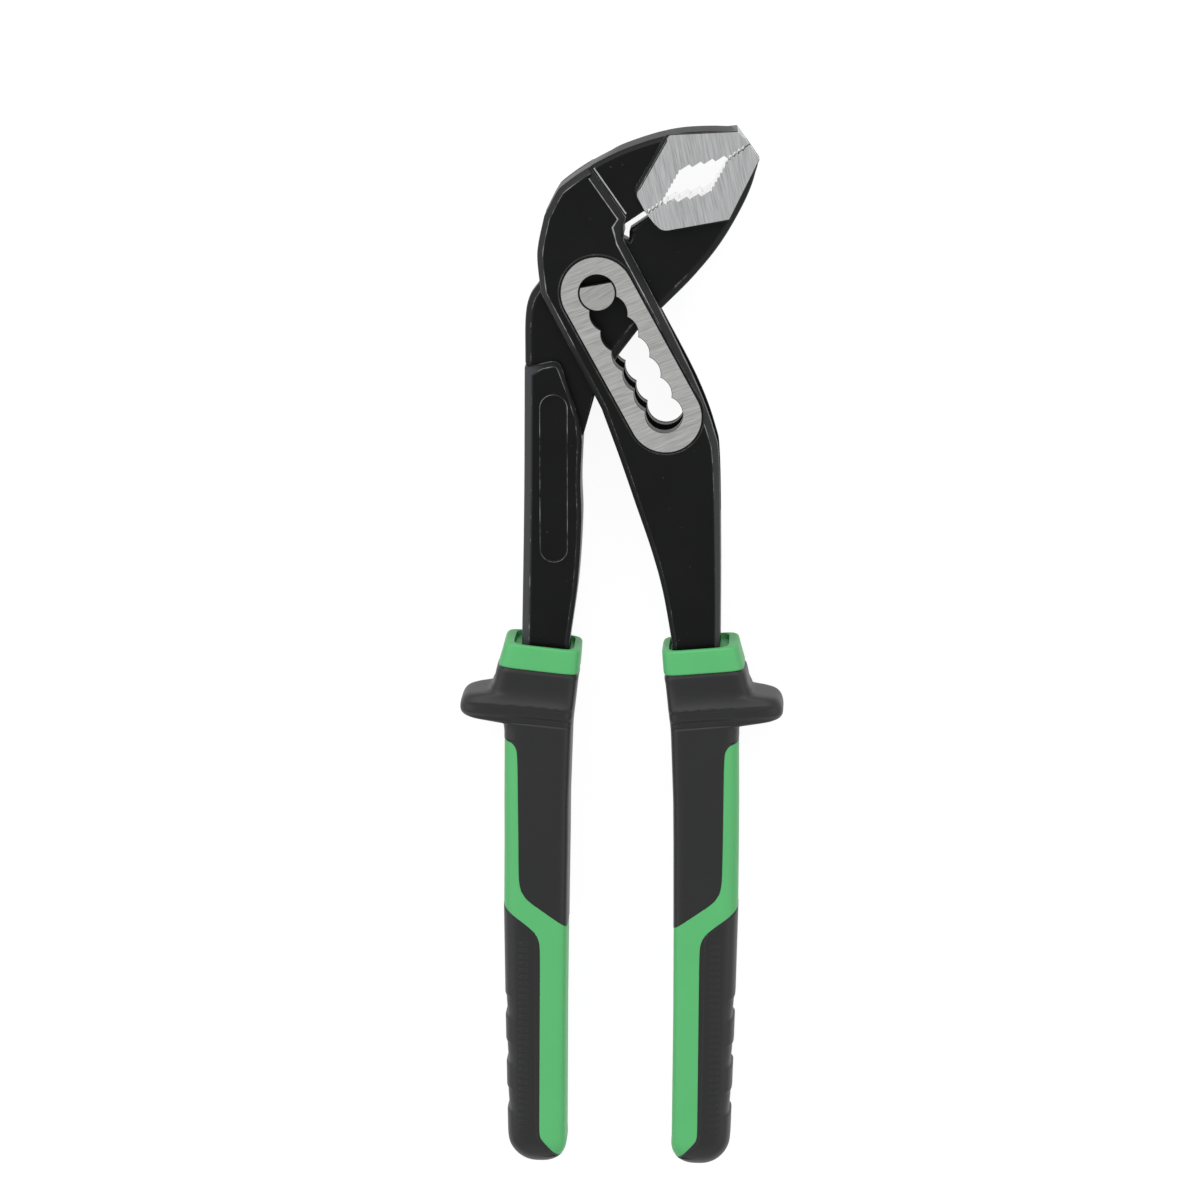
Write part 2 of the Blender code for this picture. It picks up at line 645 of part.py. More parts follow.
def make_inner_lever(material):
    """Lower jaw, tongue, handle and tang in one forging."""
    lever = plate("inner_lever", inner_outline(), TONGUE_THICKNESS / 2, TONGUE_CHAMFER, material)
    face = plate("lower_jaw_face", jaw_face(-1), JAW_THICKNESS / 2, JAW_CHAMFER)
    panel = plate("handle_panel", panel_outline(), LEVER_THICKNESS / 2, LEVER_CHAMFER)
    combine(panel, "DIFFERENCE", taper("left_front_taper", 1), taper("left_rear_taper", -1))
    half = TANG_CORE_THICKNESS / 2
    end = slab("left_tang", tang_outline(-1), -half, half)
    combine(lever, "UNION", face, panel, end)
    round_end = PANEL_WIDTH / 2
    reach = PANEL_LENGTH / 2 - round_end
    x, y = PANEL_CENTRE
    recess = arc((x, y + reach), round_end, 0, 180, 8) + arc((x, y - reach), round_end, 180, 360, 8)
    front = LEVER_THICKNESS / 2
    recess = slab("recess", recess, front - PANEL_DEPTH, front + PANEL_DEPTH)
    bore = slab("bore", arc((0, 0), SHANK_RADIUS + FIT_GAP, 0, 345, 23), -FAR, FAR)
    combine(lever, "DIFFERENCE", slab("lower_bite", bite(-1), -FAR, FAR), recess, bore)


def make_pin(material):
    """The round shank in the tongue and, on its spigots, a D-shaped head in the slot of each cheek."""
    shank, spigot, seat = (arc((0, 0), r, 0, 345, 23) for r in PIN_STEPS)
    half, end = TONGUE_THICKNESS / 2, SLIT / 2 + SPIGOT_LENGTH
    rings = [level(spigot, -end), level(spigot, -half), level(shank, -half)]
    rings += [level(shank, half), level(spigot, half), level(spigot, end)]
    make_solid("pivot_pin", rings, material)
    reach = math.degrees(math.acos(PIN_FLAT / PIN_RADIUS))
    flat = 90 + PIN_FLAT_TURN
    outline = arc((0, 0), PIN_RADIUS, flat + reach, flat + 360 - reach, 24)
    socket = slab("spigot_seats", seat, -end - FIT_GAP, end + FIT_GAP)
    for name, side in (("front_pin_head", 1), ("rear_pin_head", -1)):
        low, high = sorted((side * SLIT / 2, side * LAND_HALF))
        combine(slab(name, outline, low, high, material), "DIFFERENCE", socket)


# The tool lies on its rear side, centred on its footprint

pivot = bpy.data.objects.new("pivot_axis", None)
bpy.context.scene.collection.objects.link(pivot)

steel = finish("black_steel", (0.012, 0.012, 0.012), 0.4, 0.6)
ground = finish("ground_steel", (0.38, 0.38, 0.36), 0.35, 1.0)
green = finish("green_plastic", (0.11, 0.52, 0.17), 0.45, 0.0)
black = finish("black_rubber", (0.03, 0.03, 0.03), 0.7, 0.0)

make_slotted_lever(steel)
make_inner_lever(steel)
make_pin(ground)
make_grip("left", -1, green, black)
make_grip("right", 1, green, black)

jaw_top = max(p[1] for p in web_outline())
thickest = max(grip_station(drop)[2] for drop in grip_drops(0))
pivot.location = (-HANDLE_MIDDLE * MM, -(jaw_top + GRIP_END) / 2 * MM, thickest * MM)
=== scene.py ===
# %% [markdown]
# # Water pump pliers
# The real tool is two black steel forgings that cross in a box joint, a pin that locks in one of
# seven notches, and two handles moulded in green plastic with a soft black skin. Every new surface
# is worked out with numpy, in millimetres about the pivot, and then put into the solid model's frame.

# %% Load the solid model and keep its box
import json
import math

import bmesh
import bpy
import numpy as np
from mathutils import Matrix
from mathutils.geometry import tessellate_polygon


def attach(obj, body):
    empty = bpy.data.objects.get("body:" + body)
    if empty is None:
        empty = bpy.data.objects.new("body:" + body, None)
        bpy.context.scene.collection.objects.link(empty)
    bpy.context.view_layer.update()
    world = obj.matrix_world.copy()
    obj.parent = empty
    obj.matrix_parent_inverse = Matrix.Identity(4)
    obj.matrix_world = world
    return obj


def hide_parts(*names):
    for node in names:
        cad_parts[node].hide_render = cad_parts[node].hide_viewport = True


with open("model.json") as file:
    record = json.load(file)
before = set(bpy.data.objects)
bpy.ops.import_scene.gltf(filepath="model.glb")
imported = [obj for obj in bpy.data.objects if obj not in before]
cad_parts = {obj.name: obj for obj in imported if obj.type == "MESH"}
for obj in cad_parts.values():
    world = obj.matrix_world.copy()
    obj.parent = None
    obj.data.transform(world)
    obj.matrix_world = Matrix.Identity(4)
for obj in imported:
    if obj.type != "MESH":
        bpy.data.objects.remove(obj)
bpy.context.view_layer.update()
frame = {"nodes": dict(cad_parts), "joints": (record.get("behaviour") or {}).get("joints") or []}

MM = 0.001
hinge = next(joint for joint in frame["joints"] if joint["name"] == "lever_hinge")
PIVOT = np.array(hinge["pos_m"])

# %% [markdown]
# ## Camera
# The tool stands upright in the picture, seen from a little above its jaws and a hair from the right.
# Here it lies on its back, so the same view looks down on it with +Y up in the picture. A Track To
# constraint could aim the camera, but so close to straight down it can turn the picture over. So the
# camera's own axes are written straight into its matrix, and the lamps are aimed in the same way.

# %% Place the camera
VIEW_TILT, VIEW_YAW = np.radians([14.8, 3.0])
VIEW_DISTANCE, VIEW_WIDTH, SENSOR_WIDTH = 1400.0, 337.5, 36.0
VIEW_AIM = np.array([0.405, -89.25, 0.0])


def placed(name, data):
    """A new object in the scene that carries a camera, a lamp or a mesh."""
    item = bpy.data.objects.new(name, data)
    bpy.context.scene.collection.objects.link(item)
    return item


def aimed(spot, back, above):
    """Matrix of an object at a spot in metres whose Z axis points back and whose Y axis leans to above."""
    right = np.cross(above, back) / np.linalg.norm(np.cross(above, back))
    matrix = np.eye(4)
    matrix[:3, :3] = np.stack([right, np.cross(back, right), back], 1)
    matrix[:3, 3] = spot
    return Matrix(matrix.tolist())


level = np.cos(VIEW_TILT)
back = np.array([np.sin(VIEW_YAW) * level, np.sin(VIEW_TILT), np.cos(VIEW_YAW) * level])
camera = placed("front_camera", bpy.data.cameras.new("front_camera"))
camera.data.sensor_width = SENSOR_WIDTH
camera.data.lens = SENSOR_WIDTH * VIEW_DISTANCE / VIEW_WIDTH
camera.data.clip_start, camera.data.clip_end = 0.05, 30.0
camera.matrix_world = aimed(PIVOT + MM * (VIEW_AIM + VIEW_DISTANCE * back), back, (0, 1, 0))
bpy.context.scene.camera = camera
print("lens, mm:", round(camera.data.lens, 1))

# %% [markdown]
# ## Light and floor
# A product picture like this is taken in a light tent. Small lamps would leave hard glints, so four wide
# soft ones stand round the tool and none straight above it: flat black faces mirror a dim ceiling and
# stay black, while bevels catch a lamp and carry a painted sheen as well. The floor is pale and matt.
# What the camera and reflections see of it is lifted to white by Light Path, and it still takes a faint
# shadow of the tool.

# %% Hang the lamps
def soft_lamp(name, spot, width, height, power):
    """A rectangular lamp at a point given in metres, turned to face the middle of the tool."""
    lamp = bpy.data.lights.new(name, "AREA")
    lamp.shape, lamp.size, lamp.size_y, lamp.energy = "RECTANGLE", width, height, power
    placed(name, lamp).matrix_world = aimed(spot, np.array(spot) / np.linalg.norm(spot), (0, 0, 1))
    return lamp


lamps = [
    soft_lamp("lamp_beyond_jaws", (-0.10, 1.05, 0.80), 2.0, 1.1, 12.2),
    soft_lamp("lamp_left", (-1.10, 0.05, 0.75), 1.8, 1.0, 5.9),
    soft_lamp("lamp_right", (1.10, -0.05, 0.77), 1.8, 1.0, 4.9),
    soft_lamp("lamp_below_grips", (0.10, -1.15, 0.80), 1.6, 0.9, 2.1),
]
print("lamps, W:", [round(lamp.energy, 1) for lamp in lamps])

# %% Light the room
world = bpy.data.worlds.new("studio")
world.use_nodes = True
sky = world.node_tree.nodes["Background"].inputs
sky["Color"].default_value = (0.95, 0.97, 1.0, 1)
sky["Strength"].default_value = 0.42
bpy.context.scene.world = world
bpy.context.scene.view_settings.view_transform = "Standard"
print("room light:", round(sky["Strength"].default_value, 2))

# %% [markdown]
# ## Small helpers for nodes
# A finish is a handful of shader nodes. They could be joined by hand in the Shader Editor, or here by a
# long list of calls. One helper adds a node, sets its numbers and joins its inputs instead, and a few
# more stand for the nodes that come up most, so that a finish reads as what it is made of.

# %% Add one node
def add_node(tree, kind, inputs=None, **settings):
    """A new node with its settings, and each named input either joined to a socket or set to a value."""
    made = tree.nodes.new(kind)
    for key, value in settings.items():
        setattr(made, key, value)
    for key, value in (inputs or {}).items():
        if isinstance(value, bpy.types.NodeSocket):
            tree.links.new(value, made.inputs[key])
        else:
            made.inputs[key].default_value = value
    return made


def computed(tree, operation, first, second):
    """The product, the sum or the greater of two values."""
    return add_node(tree, "ShaderNodeMath", {0: first, 1: second}, operation=operation).outputs[0]


def mixed(tree, share, first, second):
    """Two colours mixed by a share from 0 to 1."""
    return add_node(tree, "ShaderNodeMix", {0: share, 6: first, 7: second}, data_type="RGBA").outputs[2]


def spread_over(tree, value, low, high):
    """A value from 0 to 1 spread between two numbers."""
    made = add_node(tree, "ShaderNodeMapRange", {"Value": value, "To Min": low, "To Max": high})
    return made.outputs["Result"]


def picked_out(tree, value, low, high):
    """What a value does between two numbers, as 0 to 1."""
    made = add_node(tree, "ShaderNodeMapRange", {"Value": value, "From Min": low, "From Max": high})
    return made.outputs["Result"]


def noise(tree, place, scale, detail, roughness=0.5):
    """A noise between 0 and 1 at a place."""
    inputs = {"Vector": place, "Scale": scale, "Detail": detail, "Roughness": roughness}
    return add_node(tree, "ShaderNodeTexNoise", inputs).outputs["Fac"]


print("node helpers ready")

# %% Lay the floor
FLOOR_HALF, FLOOR_DROP, WHITE_LIFT = 6.0, 0.0003, 0.92
corners = np.array([(-1, -1), (1, -1), (1, 1), (-1, 1)]) * FLOOR_HALF
floor_mesh = bpy.data.meshes.new("floor")
floor_mesh.from_pydata(np.column_stack([corners, np.full(4, -FLOOR_DROP)]).tolist(), [], [[0, 1, 2, 3]])
floor = placed("floor", floor_mesh)

paper = bpy.data.materials.new("white_paper")
paper.use_nodes = True
tree = paper.node_tree
matt = tree.nodes["Principled BSDF"].inputs
matt["Base Color"].default_value = (0.15, 0.15, 0.15, 1)
matt["Roughness"].default_value = 1.0
matt["Specular IOR Level"].default_value = 0.0
matt["Emission Color"].default_value = (1, 1, 1, 1)
ray = add_node(tree, "ShaderNodeLightPath").outputs
seen = computed(tree, "MAXIMUM", ray["Is Camera Ray"], ray["Is Glossy Ray"])
seen = computed(tree, "MAXIMUM", seen, ray["Is Transmission Ray"])
tree.links.new(computed(tree, "MULTIPLY", seen, WHITE_LIFT), matt["Emission Strength"])
floor_mesh.materials.append(paper)
print("floor, m:", 2 * FLOOR_HALF)

# %% [markdown]
# ## Effects that several finishes share
# Bare bright edges, a fine moulded or forged grain, and the long scratches of a grinding belt each turn
# up on more than one finish. Painted image maps could hold them, but noise needs no unwrapping and stays
# sharp close up. Each effect is a node group: it takes the place on the surface and a few numbers and
# puts out masks and heights, and the shader itself stays in the material.

# %% Start an effect
VALUE = "NodeSocketFloat"
PLACE = ("Place", "NodeSocketVector", None)


def effect(name, inputs, outputs):
    """An empty node group with its sockets, and the sockets of its two end nodes."""
    group = bpy.data.node_groups.new(name, "ShaderNodeTree")
    for label, kind, value in inputs:
        socket = group.interface.new_socket(label, in_out="INPUT", socket_type=kind)
        if value is not None:
            socket.default_value = value
    for label in outputs:
        group.interface.new_socket(label, in_out="OUTPUT", socket_type=VALUE)
    return group, group.nodes.new("NodeGroupInput").outputs, group.nodes.new("NodeGroupOutput").inputs


print("effect helper ready")

# %% Worn edges
edge_wear, taken, given = effect("edge_wear", [PLACE, ("Edge", VALUE, 0.0), ("Amount", VALUE, 0.5)], ["Mask"])
# Mask: edge times amount plus noise, sharpened, so that rubbed edges come through in patches.
patches = noise(edge_wear, taken["Place"], 160.0, 5.0, 0.7)
rubbed = computed(edge_wear, "MULTIPLY", taken["Edge"], taken["Amount"])
patchy = computed(edge_wear, "ADD", rubbed, patches)
edge_wear.links.new(picked_out(edge_wear, patchy, 0.85, 1.25), given["Mask"])
print("effect:", edge_wear.name)

# %% Grain
grain, taken, given = effect("grain", [PLACE, ("Scale", VALUE, 2500.0)], ["Height", "Cloud", "Speck"])
# Height: fine noise. Cloud: slow noise for colour and gloss. Speck: the rare tops of a third noise.
dots = noise(grain, taken["Place"], 1000.0, 2.0)
grain.links.new(noise(grain, taken["Place"], taken["Scale"], 3.0), given["Height"])
grain.links.new(noise(grain, taken["Place"], 55.0, 4.0, 0.6), given["Cloud"])
grain.links.new(picked_out(grain, dots, 0.73, 0.82), given["Speck"])
print("effect:", grain.name)

# %% Grinding lines
belt_lines, taken, given = effect(
    "belt_lines", [PLACE, ("Turn", VALUE, 0.0), ("Fineness", VALUE, 900.0)], ["Line", "Height"]
)
# Line: noise on a place turned about Z and squeezed along the belt's path, so that dots become scratches.
BELT_SQUEEZE, THIN_TO_COARSE = (0.035, 1.0, 0.3), 3.3
spin = {"Vector": taken["Place"], "Angle": taken["Turn"]}
turned = add_node(belt_lines, "ShaderNodeVectorRotate", spin, rotation_type="Z_AXIS").outputs[0]
squeeze = {0: turned, 1: BELT_SQUEEZE}
squeezed = add_node(belt_lines, "ShaderNodeVectorMath", squeeze, operation="MULTIPLY").outputs[0]
coarse = noise(belt_lines, squeezed, taken["Fineness"], 3.0, 0.65)
finer = computed(belt_lines, "MULTIPLY", taken["Fineness"], THIN_TO_COARSE)
both = computed(belt_lines, "ADD", coarse, noise(belt_lines, squeezed, finer, 2.0))
belt_lines.links.new(picked_out(belt_lines, both, 0.76, 1.24), given["Line"])
belt_lines.links.new(both, given["Height"])
print("effect:", belt_lines.name)

# %% [markdown]
# ## Finishes
# Black steel: a thin hard blackening over a forged skin, semi-gloss, rubbed bare along its bevels, which also
# get a painted sheen: a lighter colour where a lamp would catch them.
# Ground steel: the jaw faces and the land round the slot, cleaned bright by a belt, and the sides of the
# teeth, which the cutter left brighter still. Green plastic: satin, with a slow cloudiness and a little
# handling dirt. Black rubber: matt and finely textured. One shader with fixed numbers would look like
# painted plastic, so colour, gloss and height all follow the shared effects a little.

# %% Start a finish
def start_finish(name, roughness, specular):
    """A material with its tree, its shader's inputs and the place on the piece in Object coordinates."""
    made = bpy.data.materials.new(name)
    made.use_nodes = True
    shader = made.node_tree.nodes["Principled BSDF"].inputs
    shader["Roughness"].default_value = roughness
    shader["Specular IOR Level"].default_value = specular
    return made, made.node_tree, shader, add_node(made.node_tree, "ShaderNodeTexCoord").outputs["Object"]


def use_effect(tree, group, **values):
    """A group placed in a material with its own values."""
    return add_node(tree, "ShaderNodeGroup", values, node_tree=group).outputs


def roughen(tree, shader, height, strength, depth):
    """A bump of the given depth in millimetres on the shader's normal."""
    bump = add_node(tree, "ShaderNodeBump", {"Height": height, "Strength": strength, "Distance": depth * MM})
    tree.links.new(bump.outputs["Normal"], shader["Normal"])


def shade(colour, scale=1.0):
    """A colour made lighter or darker, with its fourth number for full cover."""
    return (*(scale * c for c in colour), 1)


print("finish helpers ready")

# %% Black steel
# The third colour is a painted sheen: a lighter grey for bevels where they would catch a lamp.
DUST, DUST_COVER, PAINTED_SHEEN_COLOUR = (0.3, 0.3, 0.29), 0.2, (0.070, 0.071, 0.074)


def black_finish(name, base, bare, wear):
    """Blackened steel: bare metal shows through by the worn-edge mask, and dust lies on it in rare specks.
    Two numbers on each point of the piece say where it is a worn edge and where its bevel is painted lighter,
    as if lit by a lamp."""
    made, tree, shader, spot = start_finish(name, roughness=0.38, specular=0.22)
    marks = [add_node(tree, "ShaderNodeAttribute", attribute_name=label) for label in ("edge", "slope")]
    edge, slope = (mark.outputs["Fac"] for mark in marks)
    worn = use_effect(tree, edge_wear, Place=spot, Edge=edge, Amount=wear)["Mask"]
    skin = use_effect(tree, grain, Place=spot, Scale=2200.0)
    cloudy = mixed(tree, skin["Cloud"], shade((0.7, 0.7, 0.68), base), shade((1.3, 1.3, 1.25), base))
    dusty = mixed(tree, computed(tree, "MULTIPLY", skin["Speck"], DUST_COVER), cloudy, shade(DUST))
    # Painted sheen: the slope mark mixes the bevels towards a lighter grey that stands in for lamp light.
    with_painted_sheen = mixed(tree, slope, dusty, shade(PAINTED_SHEEN_COLOUR))
    tree.links.new(mixed(tree, worn, with_painted_sheen, shade((bare, bare, bare))), shader["Base Color"])
    tree.links.new(spread_over(tree, skin["Cloud"], 0.30, 0.46), shader["Roughness"])
    roughen(tree, shader, skin["Height"], strength=0.4, depth=0.05)
    return made


black_steel = black_finish("black_steel", base=0.0042, bare=0.45, wear=0.75)
slot_steel = black_finish("slot_wall_steel", base=0.010, bare=0.22, wear=0.5)
print("black finishes:", black_steel.name, slot_steel.name)

# %% Ground steel
FINENESS = 1700.0
JAW_BELT, LAND_BELT, PIN_BELT = -102.0, -22.0, -32.0


def ground_finish(name, turn, tone, metal=0.55, dull=0.46, keen=0.34):
    """Belt-ground steel: light and dark scratches along one direction, in its colour, gloss and height."""
    made, tree, shader, spot = start_finish(name, roughness=0.4, specular=0.5)
    lines = use_effect(tree, belt_lines, Place=spot, Turn=math.radians(turn), Fineness=FINENESS)
    cloud = spread_over(tree, use_effect(tree, grain, Place=spot)["Cloud"], 0.0, 0.3)
    scratched = mixed(tree, lines["Line"], shade(tone, 0.70), shade(tone, 1.30))
    tree.links.new(mixed(tree, cloud, scratched, shade(tone, 0.88)), shader["Base Color"])
    shader["Metallic"].default_value = metal
    tree.links.new(spread_over(tree, lines["Line"], dull, keen), shader["Roughness"])
    roughen(tree, shader, lines["Height"], strength=0.35, depth=0.02)
    return made


jaw_ground = ground_finish("jaw_ground_steel", JAW_BELT, (0.56, 0.56, 0.555))
land_ground = ground_finish("land_ground_steel", LAND_BELT, (0.525, 0.523, 0.50))
pin_ground = ground_finish("pin_ground_steel", PIN_BELT, (0.47, 0.468, 0.448))
tooth_cut = ground_finish("tooth_cut_steel", JAW_BELT, (0.9, 0.9, 0.89), metal=1.0, dull=0.16, keen=0.1)
print("ground finishes:", jaw_ground.name, land_ground.name, pin_ground.name, tooth_cut.name)

# %% Green plastic and black rubber
def moulded_finish(name, colour, dirt, cover, roughness, specular, scale, depth):
    """Moulded plastic or rubber: one colour with a slow cloud, faint dirt and the mould's fine texture."""
    made, tree, shader, spot = start_finish(name, roughness, specular)
    skin = use_effect(tree, grain, Place=spot, Scale=scale)
    clean = mixed(tree, skin["Cloud"], shade(colour, 0.93), shade(colour, 1.07))
    smear = computed(tree, "MULTIPLY", skin["Speck"], cover)
    tree.links.new(mixed(tree, smear, clean, shade(dirt)), shader["Base Color"])
    tree.links.new(spread_over(tree, skin["Cloud"], roughness - 0.06, roughness + 0.06), shader["Roughness"])
    roughen(tree, shader, skin["Height"], strength=0.3, depth=depth)
    return made


GREEN, GREEN_DIRT = (0.105, 0.50, 0.165), (0.08, 0.25, 0.09)
BLACK, BLACK_DIRT = (0.0130, 0.0130, 0.0122), (0.10, 0.10, 0.10)
green_plastic = moulded_finish(
    "green_plastic", GREEN, GREEN_DIRT, cover=0.25, roughness=0.46, specular=0.4, scale=1800.0, depth=0.03
)
black_rubber = moulded_finish(
    "black_rubber", BLACK, BLACK_DIRT, cover=0.12, roughness=0.47, specular=0.5, scale=2600.0, depth=0.04
)
print("handle finishes:", green_plastic.name, black_rubber.name)

# %% [markdown]
# ## How a forged shape is made
# Nearly every steel shape is a flat outline with bevelled edges. A solid with a Bevel modifier would do,
# but one width then serves all its edges, and the teeth must stay crisp. So the edge's profile is carried
# round the outline instead, and each point of the outline scales it by a weight of its own.

# %% Put points and faces into a piece
WELD, SPECK = 2e-6, 1e-7


def make_piece(name, points, faces, finishes, which=0, wear=None, weld=False, sharp=32.0):
    """A mesh object at the origin from points in millimetres about the pivot, smooth but for sharp edges."""
    mesh = bpy.data.meshes.new(name)
    mesh.from_pydata((PIVOT + MM * points).tolist(), [], faces)
    for finish in finishes:
        mesh.materials.append(finish)
    mesh.polygons.foreach_set("material_index", np.broadcast_to(which, len(faces)).astype(np.int32))
    # Two numbers on each point: how far it is rubbed bare, and its share of the painted sheen that stands in
    # for lamp light on bevels.
    rubbed = np.zeros((len(points), 2)) if wear is None else wear
    for label, values in zip(("edge", "slope"), rubbed.T.astype(np.float32)):
        mesh.attributes.new(label, "FLOAT", "POINT").data.foreach_set("value", np.ascontiguousarray(values))
    if weld:
        shell = bmesh.new()
        shell.from_mesh(mesh)
        bmesh.ops.remove_doubles(shell, verts=shell.verts, dist=WELD)
        bmesh.ops.dissolve_degenerate(shell, dist=SPECK, edges=shell.edges)
        bmesh.ops.delete(shell, geom=[v for v in shell.verts if not v.link_faces], context="VERTS")
        shell.to_mesh(mesh)
        shell.free()
    mesh.shade_smooth()
    mesh.set_sharp_from_angle(angle=math.radians(sharp))
    mesh.validate()
    return placed(name, mesh)


def belongs(piece, body, node):
    """The body that carries the piece and the solid that it stands for, which is hidden."""
    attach(piece, body)
    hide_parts(node)
    print(piece.name, "on", body, len(piece.data.polygons), "faces")


print("piece helpers ready")

# %% Carry an edge profile round an outline
LEAST_DIVISOR = 0.6


def mitres(outline):
    """Inward mitre at each point: the sum of its two edges' left normals over one plus their cosine.
    That divisor has a least value, which keeps the mitre of a sharp corner short."""
    into = outline - np.roll(outline, 1, axis=0)
    first = np.stack([-into[:, 1], into[:, 0]], 1) / np.linalg.norm(into, axis=1)[:, None]
    second = np.roll(first, -1, axis=0)
    return (first + second) / np.maximum(1 + (first * second).sum(1), LEAST_DIVISOR)[:, None]


def parabola(first, corner, last, steps):
    """Points that leave the first towards the corner and reach the last: (1-t)^2, 2t(1-t) and t^2 of them."""
    t = np.linspace(0, 1, steps + 1)[:, None]
    return (1 - t) ** 2 * np.array(first) + 2 * t * (1 - t) * np.array(corner) + t**2 * np.array(last)


def bevel(soft, steps=4):
    """Inset, drop, wear and painted sheen down a 45 degree bevel of width one, each corner rounded by a
    parabola.
    """
    k = soft / math.sqrt(2)
    top = parabola((1 + soft, 0), (1, 0), (1 - k, k), steps)
    foot = parabola((k, 1 - k), (0, 1), (0, 1 + soft), steps)
    t = np.linspace(0, 1, steps + 1)
    hump = 1 - np.abs(np.linspace(-1, 1, steps + 1))
    flat_row = [(1.1 + soft, 0)]
    path = np.vstack([flat_row, top, foot])
    return np.column_stack([path, np.r_[0, hump, 0.8 * hump], np.r_[0, t, 1 - 0.8 * t]])


def carried(outline, profile, level, down, inset, drop):
    """Rows of points: the outline moved in by each inset and set below or above a level by each drop."""
    inset, drop = (np.broadcast_to(each, len(outline)) for each in (inset, drop))
    flat = outline[None] + profile[:, None, :1] * inset[None, :, None] * mitres(outline)[None]
    return np.dstack([flat, level - down * profile[:, 1:2] * drop[None]])


print("bevel rows:", len(bevel(0.3)))

# %% Gather the rows and faces of a flat piece
EDGE, FRONT, HOLE_WALL, BACK, MARKED = range(5)


def filled(loops, ids, upwards):
    """Triangles between an outer loop and the loops of its holes, all turned up or all turned down."""
    flat = [np.column_stack([loop, np.zeros(len(loop))]).tolist() for loop in loops]
    corner = np.array(tessellate_polygon(flat))
    p = np.vstack(loops)[corner]
    one, two = p[:, 1] - p[:, 0], p[:, 2] - p[:, 0]
    flipped = (one[:, 0] * two[:, 1] - one[:, 1] * two[:, 0] > 0) != upwards
    corner[flipped] = corner[flipped][:, ::-1]
    return np.concatenate(ids)[corner]


class Shell:
    """Points, faces, kinds of face, and wear and painted sheen of one piece, gathered ring by ring."""

    def __init__(self):
        self.points, self.faces, self.kinds, self.wear = [], [], [], []
        self.count = 0

    def add_rows(self, rows, marks, kind, inward=False):
        """Quads between neighbouring rings. Gives back the first and the last ring, each with its numbers."""
        ids = self.count + np.arange(rows.shape[0] * rows.shape[1]).reshape(rows.shape[:2])
        here, below = ids[:-1], ids[1:]
        quads = np.stack([here, below, np.roll(below, -1, 1), np.roll(here, -1, 1)], -1).reshape(-1, 4)
        self.points.append(rows.reshape(-1, 3))
        self.wear.append(np.broadcast_to(marks, (*rows.shape[:2], 2)).reshape(-1, 2))
        self.faces.extend((quads[:, ::-1] if inward else quads).tolist())
        self.kinds.append(np.tile(np.broadcast_to(kind, rows.shape[1]), rows.shape[0] - 1))
        self.count += ids.size
        return (rows[0, :, :2], ids[0]), (rows[-1, :, :2], ids[-1])

    def add_face(self, rings, upwards, kind):
        """A flat face between an outer ring and the rings of its holes."""
        found = filled([ring[0] for ring in rings], [ring[1] for ring in rings], upwards).tolist()
        self.faces.extend(found)
        self.kinds.append(np.full(len(found), kind))

    def shape(self):
        """Everything as whole arrays."""
        return np.vstack(self.points), self.faces, np.concatenate(self.kinds), np.vstack(self.wear)


print("shell ready, kinds of face:", MARKED + 1)

# %% A flat piece with bevelled edges
DIE_SEAM = np.array([(-1.0, -0.3), (-1.0, 0.3)])


def edged(points, inset, drop=None, rub=0.5, painted_sheen=0.1, mark=0):
    """Points with the width and height of their bevel, how far it is rubbed bare, its painted sheen (a
    lighter colour standing in for lamp light), and a mark.
    """
    points = np.atleast_2d(points)
    columns = (inset, inset if drop is None else drop, rub, painted_sheen, mark)
    return np.column_stack([points] + [np.broadcast_to(c, len(points)) for c in columns])


def flat_piece(edge, low, high, soft, square_back=False, holes=(), pocket=None, belly=None):
    """Shape of a flat piece between two heights, from an outline whose points know their bevels.
    Rows of the surface run from the front face over the bevel, down the side and over a bevel to the back.
    A belly pushes the middle of the side outwards, as where the two halves of a forging die met.
    A hole's rows do the same outwards from its own outline, and a pocket's rows end on a floor."""
    shell, profile, square = Shell(), bevel(soft), np.zeros((1, 4))
    # Columns four and five: how far each bevel is rubbed bare, and its share of the painted sheen, a lighter
    # colour for lamp light.
    outline, inset, drop, rubbed, mark = edge[:, :2], edge[:, 2], edge[:, 3], edge[:, 4:6], edge[:, 6]
    foot = square if square_back else profile[::-1]
    rows = [carried(outline, profile, high, 1, inset, drop), carried(outline, foot, low, -1, inset, drop)]
    marks = [profile[:, None, 2:], foot[:, None, 2:]]
    if belly is not None:
        rows.insert(1, carried(outline, DIE_SEAM, (low + high) / 2, 1, belly, 1.0))
        marks.insert(1, np.zeros((len(DIE_SEAM), 1, 2)))
    marks = np.concatenate(marks) * rubbed[None]
    front, rear = shell.add_rows(np.vstack(rows), marks, np.where(mark > 0, MARKED, EDGE))
    fronts, rears = [front], [rear]
    for hole, width in holes:
        rim = profile * (-1, 1, 1, 1)
        end = square if square_back else rim[::-1]
        rows = [carried(hole, rim, high, 1, width, width), carried(hole, end, low, -1, width, width)]
        front, rear = shell.add_rows(np.vstack(rows), np.vstack([rim, end])[:, None, 2:], HOLE_WALL, True)
        fronts.append(front)
        rears.append(rear)
    if pocket:
        hole, rim = pocket
        front, bottom = shell.add_rows(carried(hole, rim, high, 1, 1.0, 1.0), rim[:, None, 2:], EDGE, True)
        fronts.append(front)
        shell.add_face([bottom], True, EDGE)
    shell.add_face(fronts, True, FRONT)
    shell.add_face(rears, False, BACK)
    return shell.shape()


print("rows over two bevels:", 2 * len(bevel(0.3)))

# %% Finish a flat piece, on the front or on the rear
SIDES = (("front", 1), ("rear", -1))


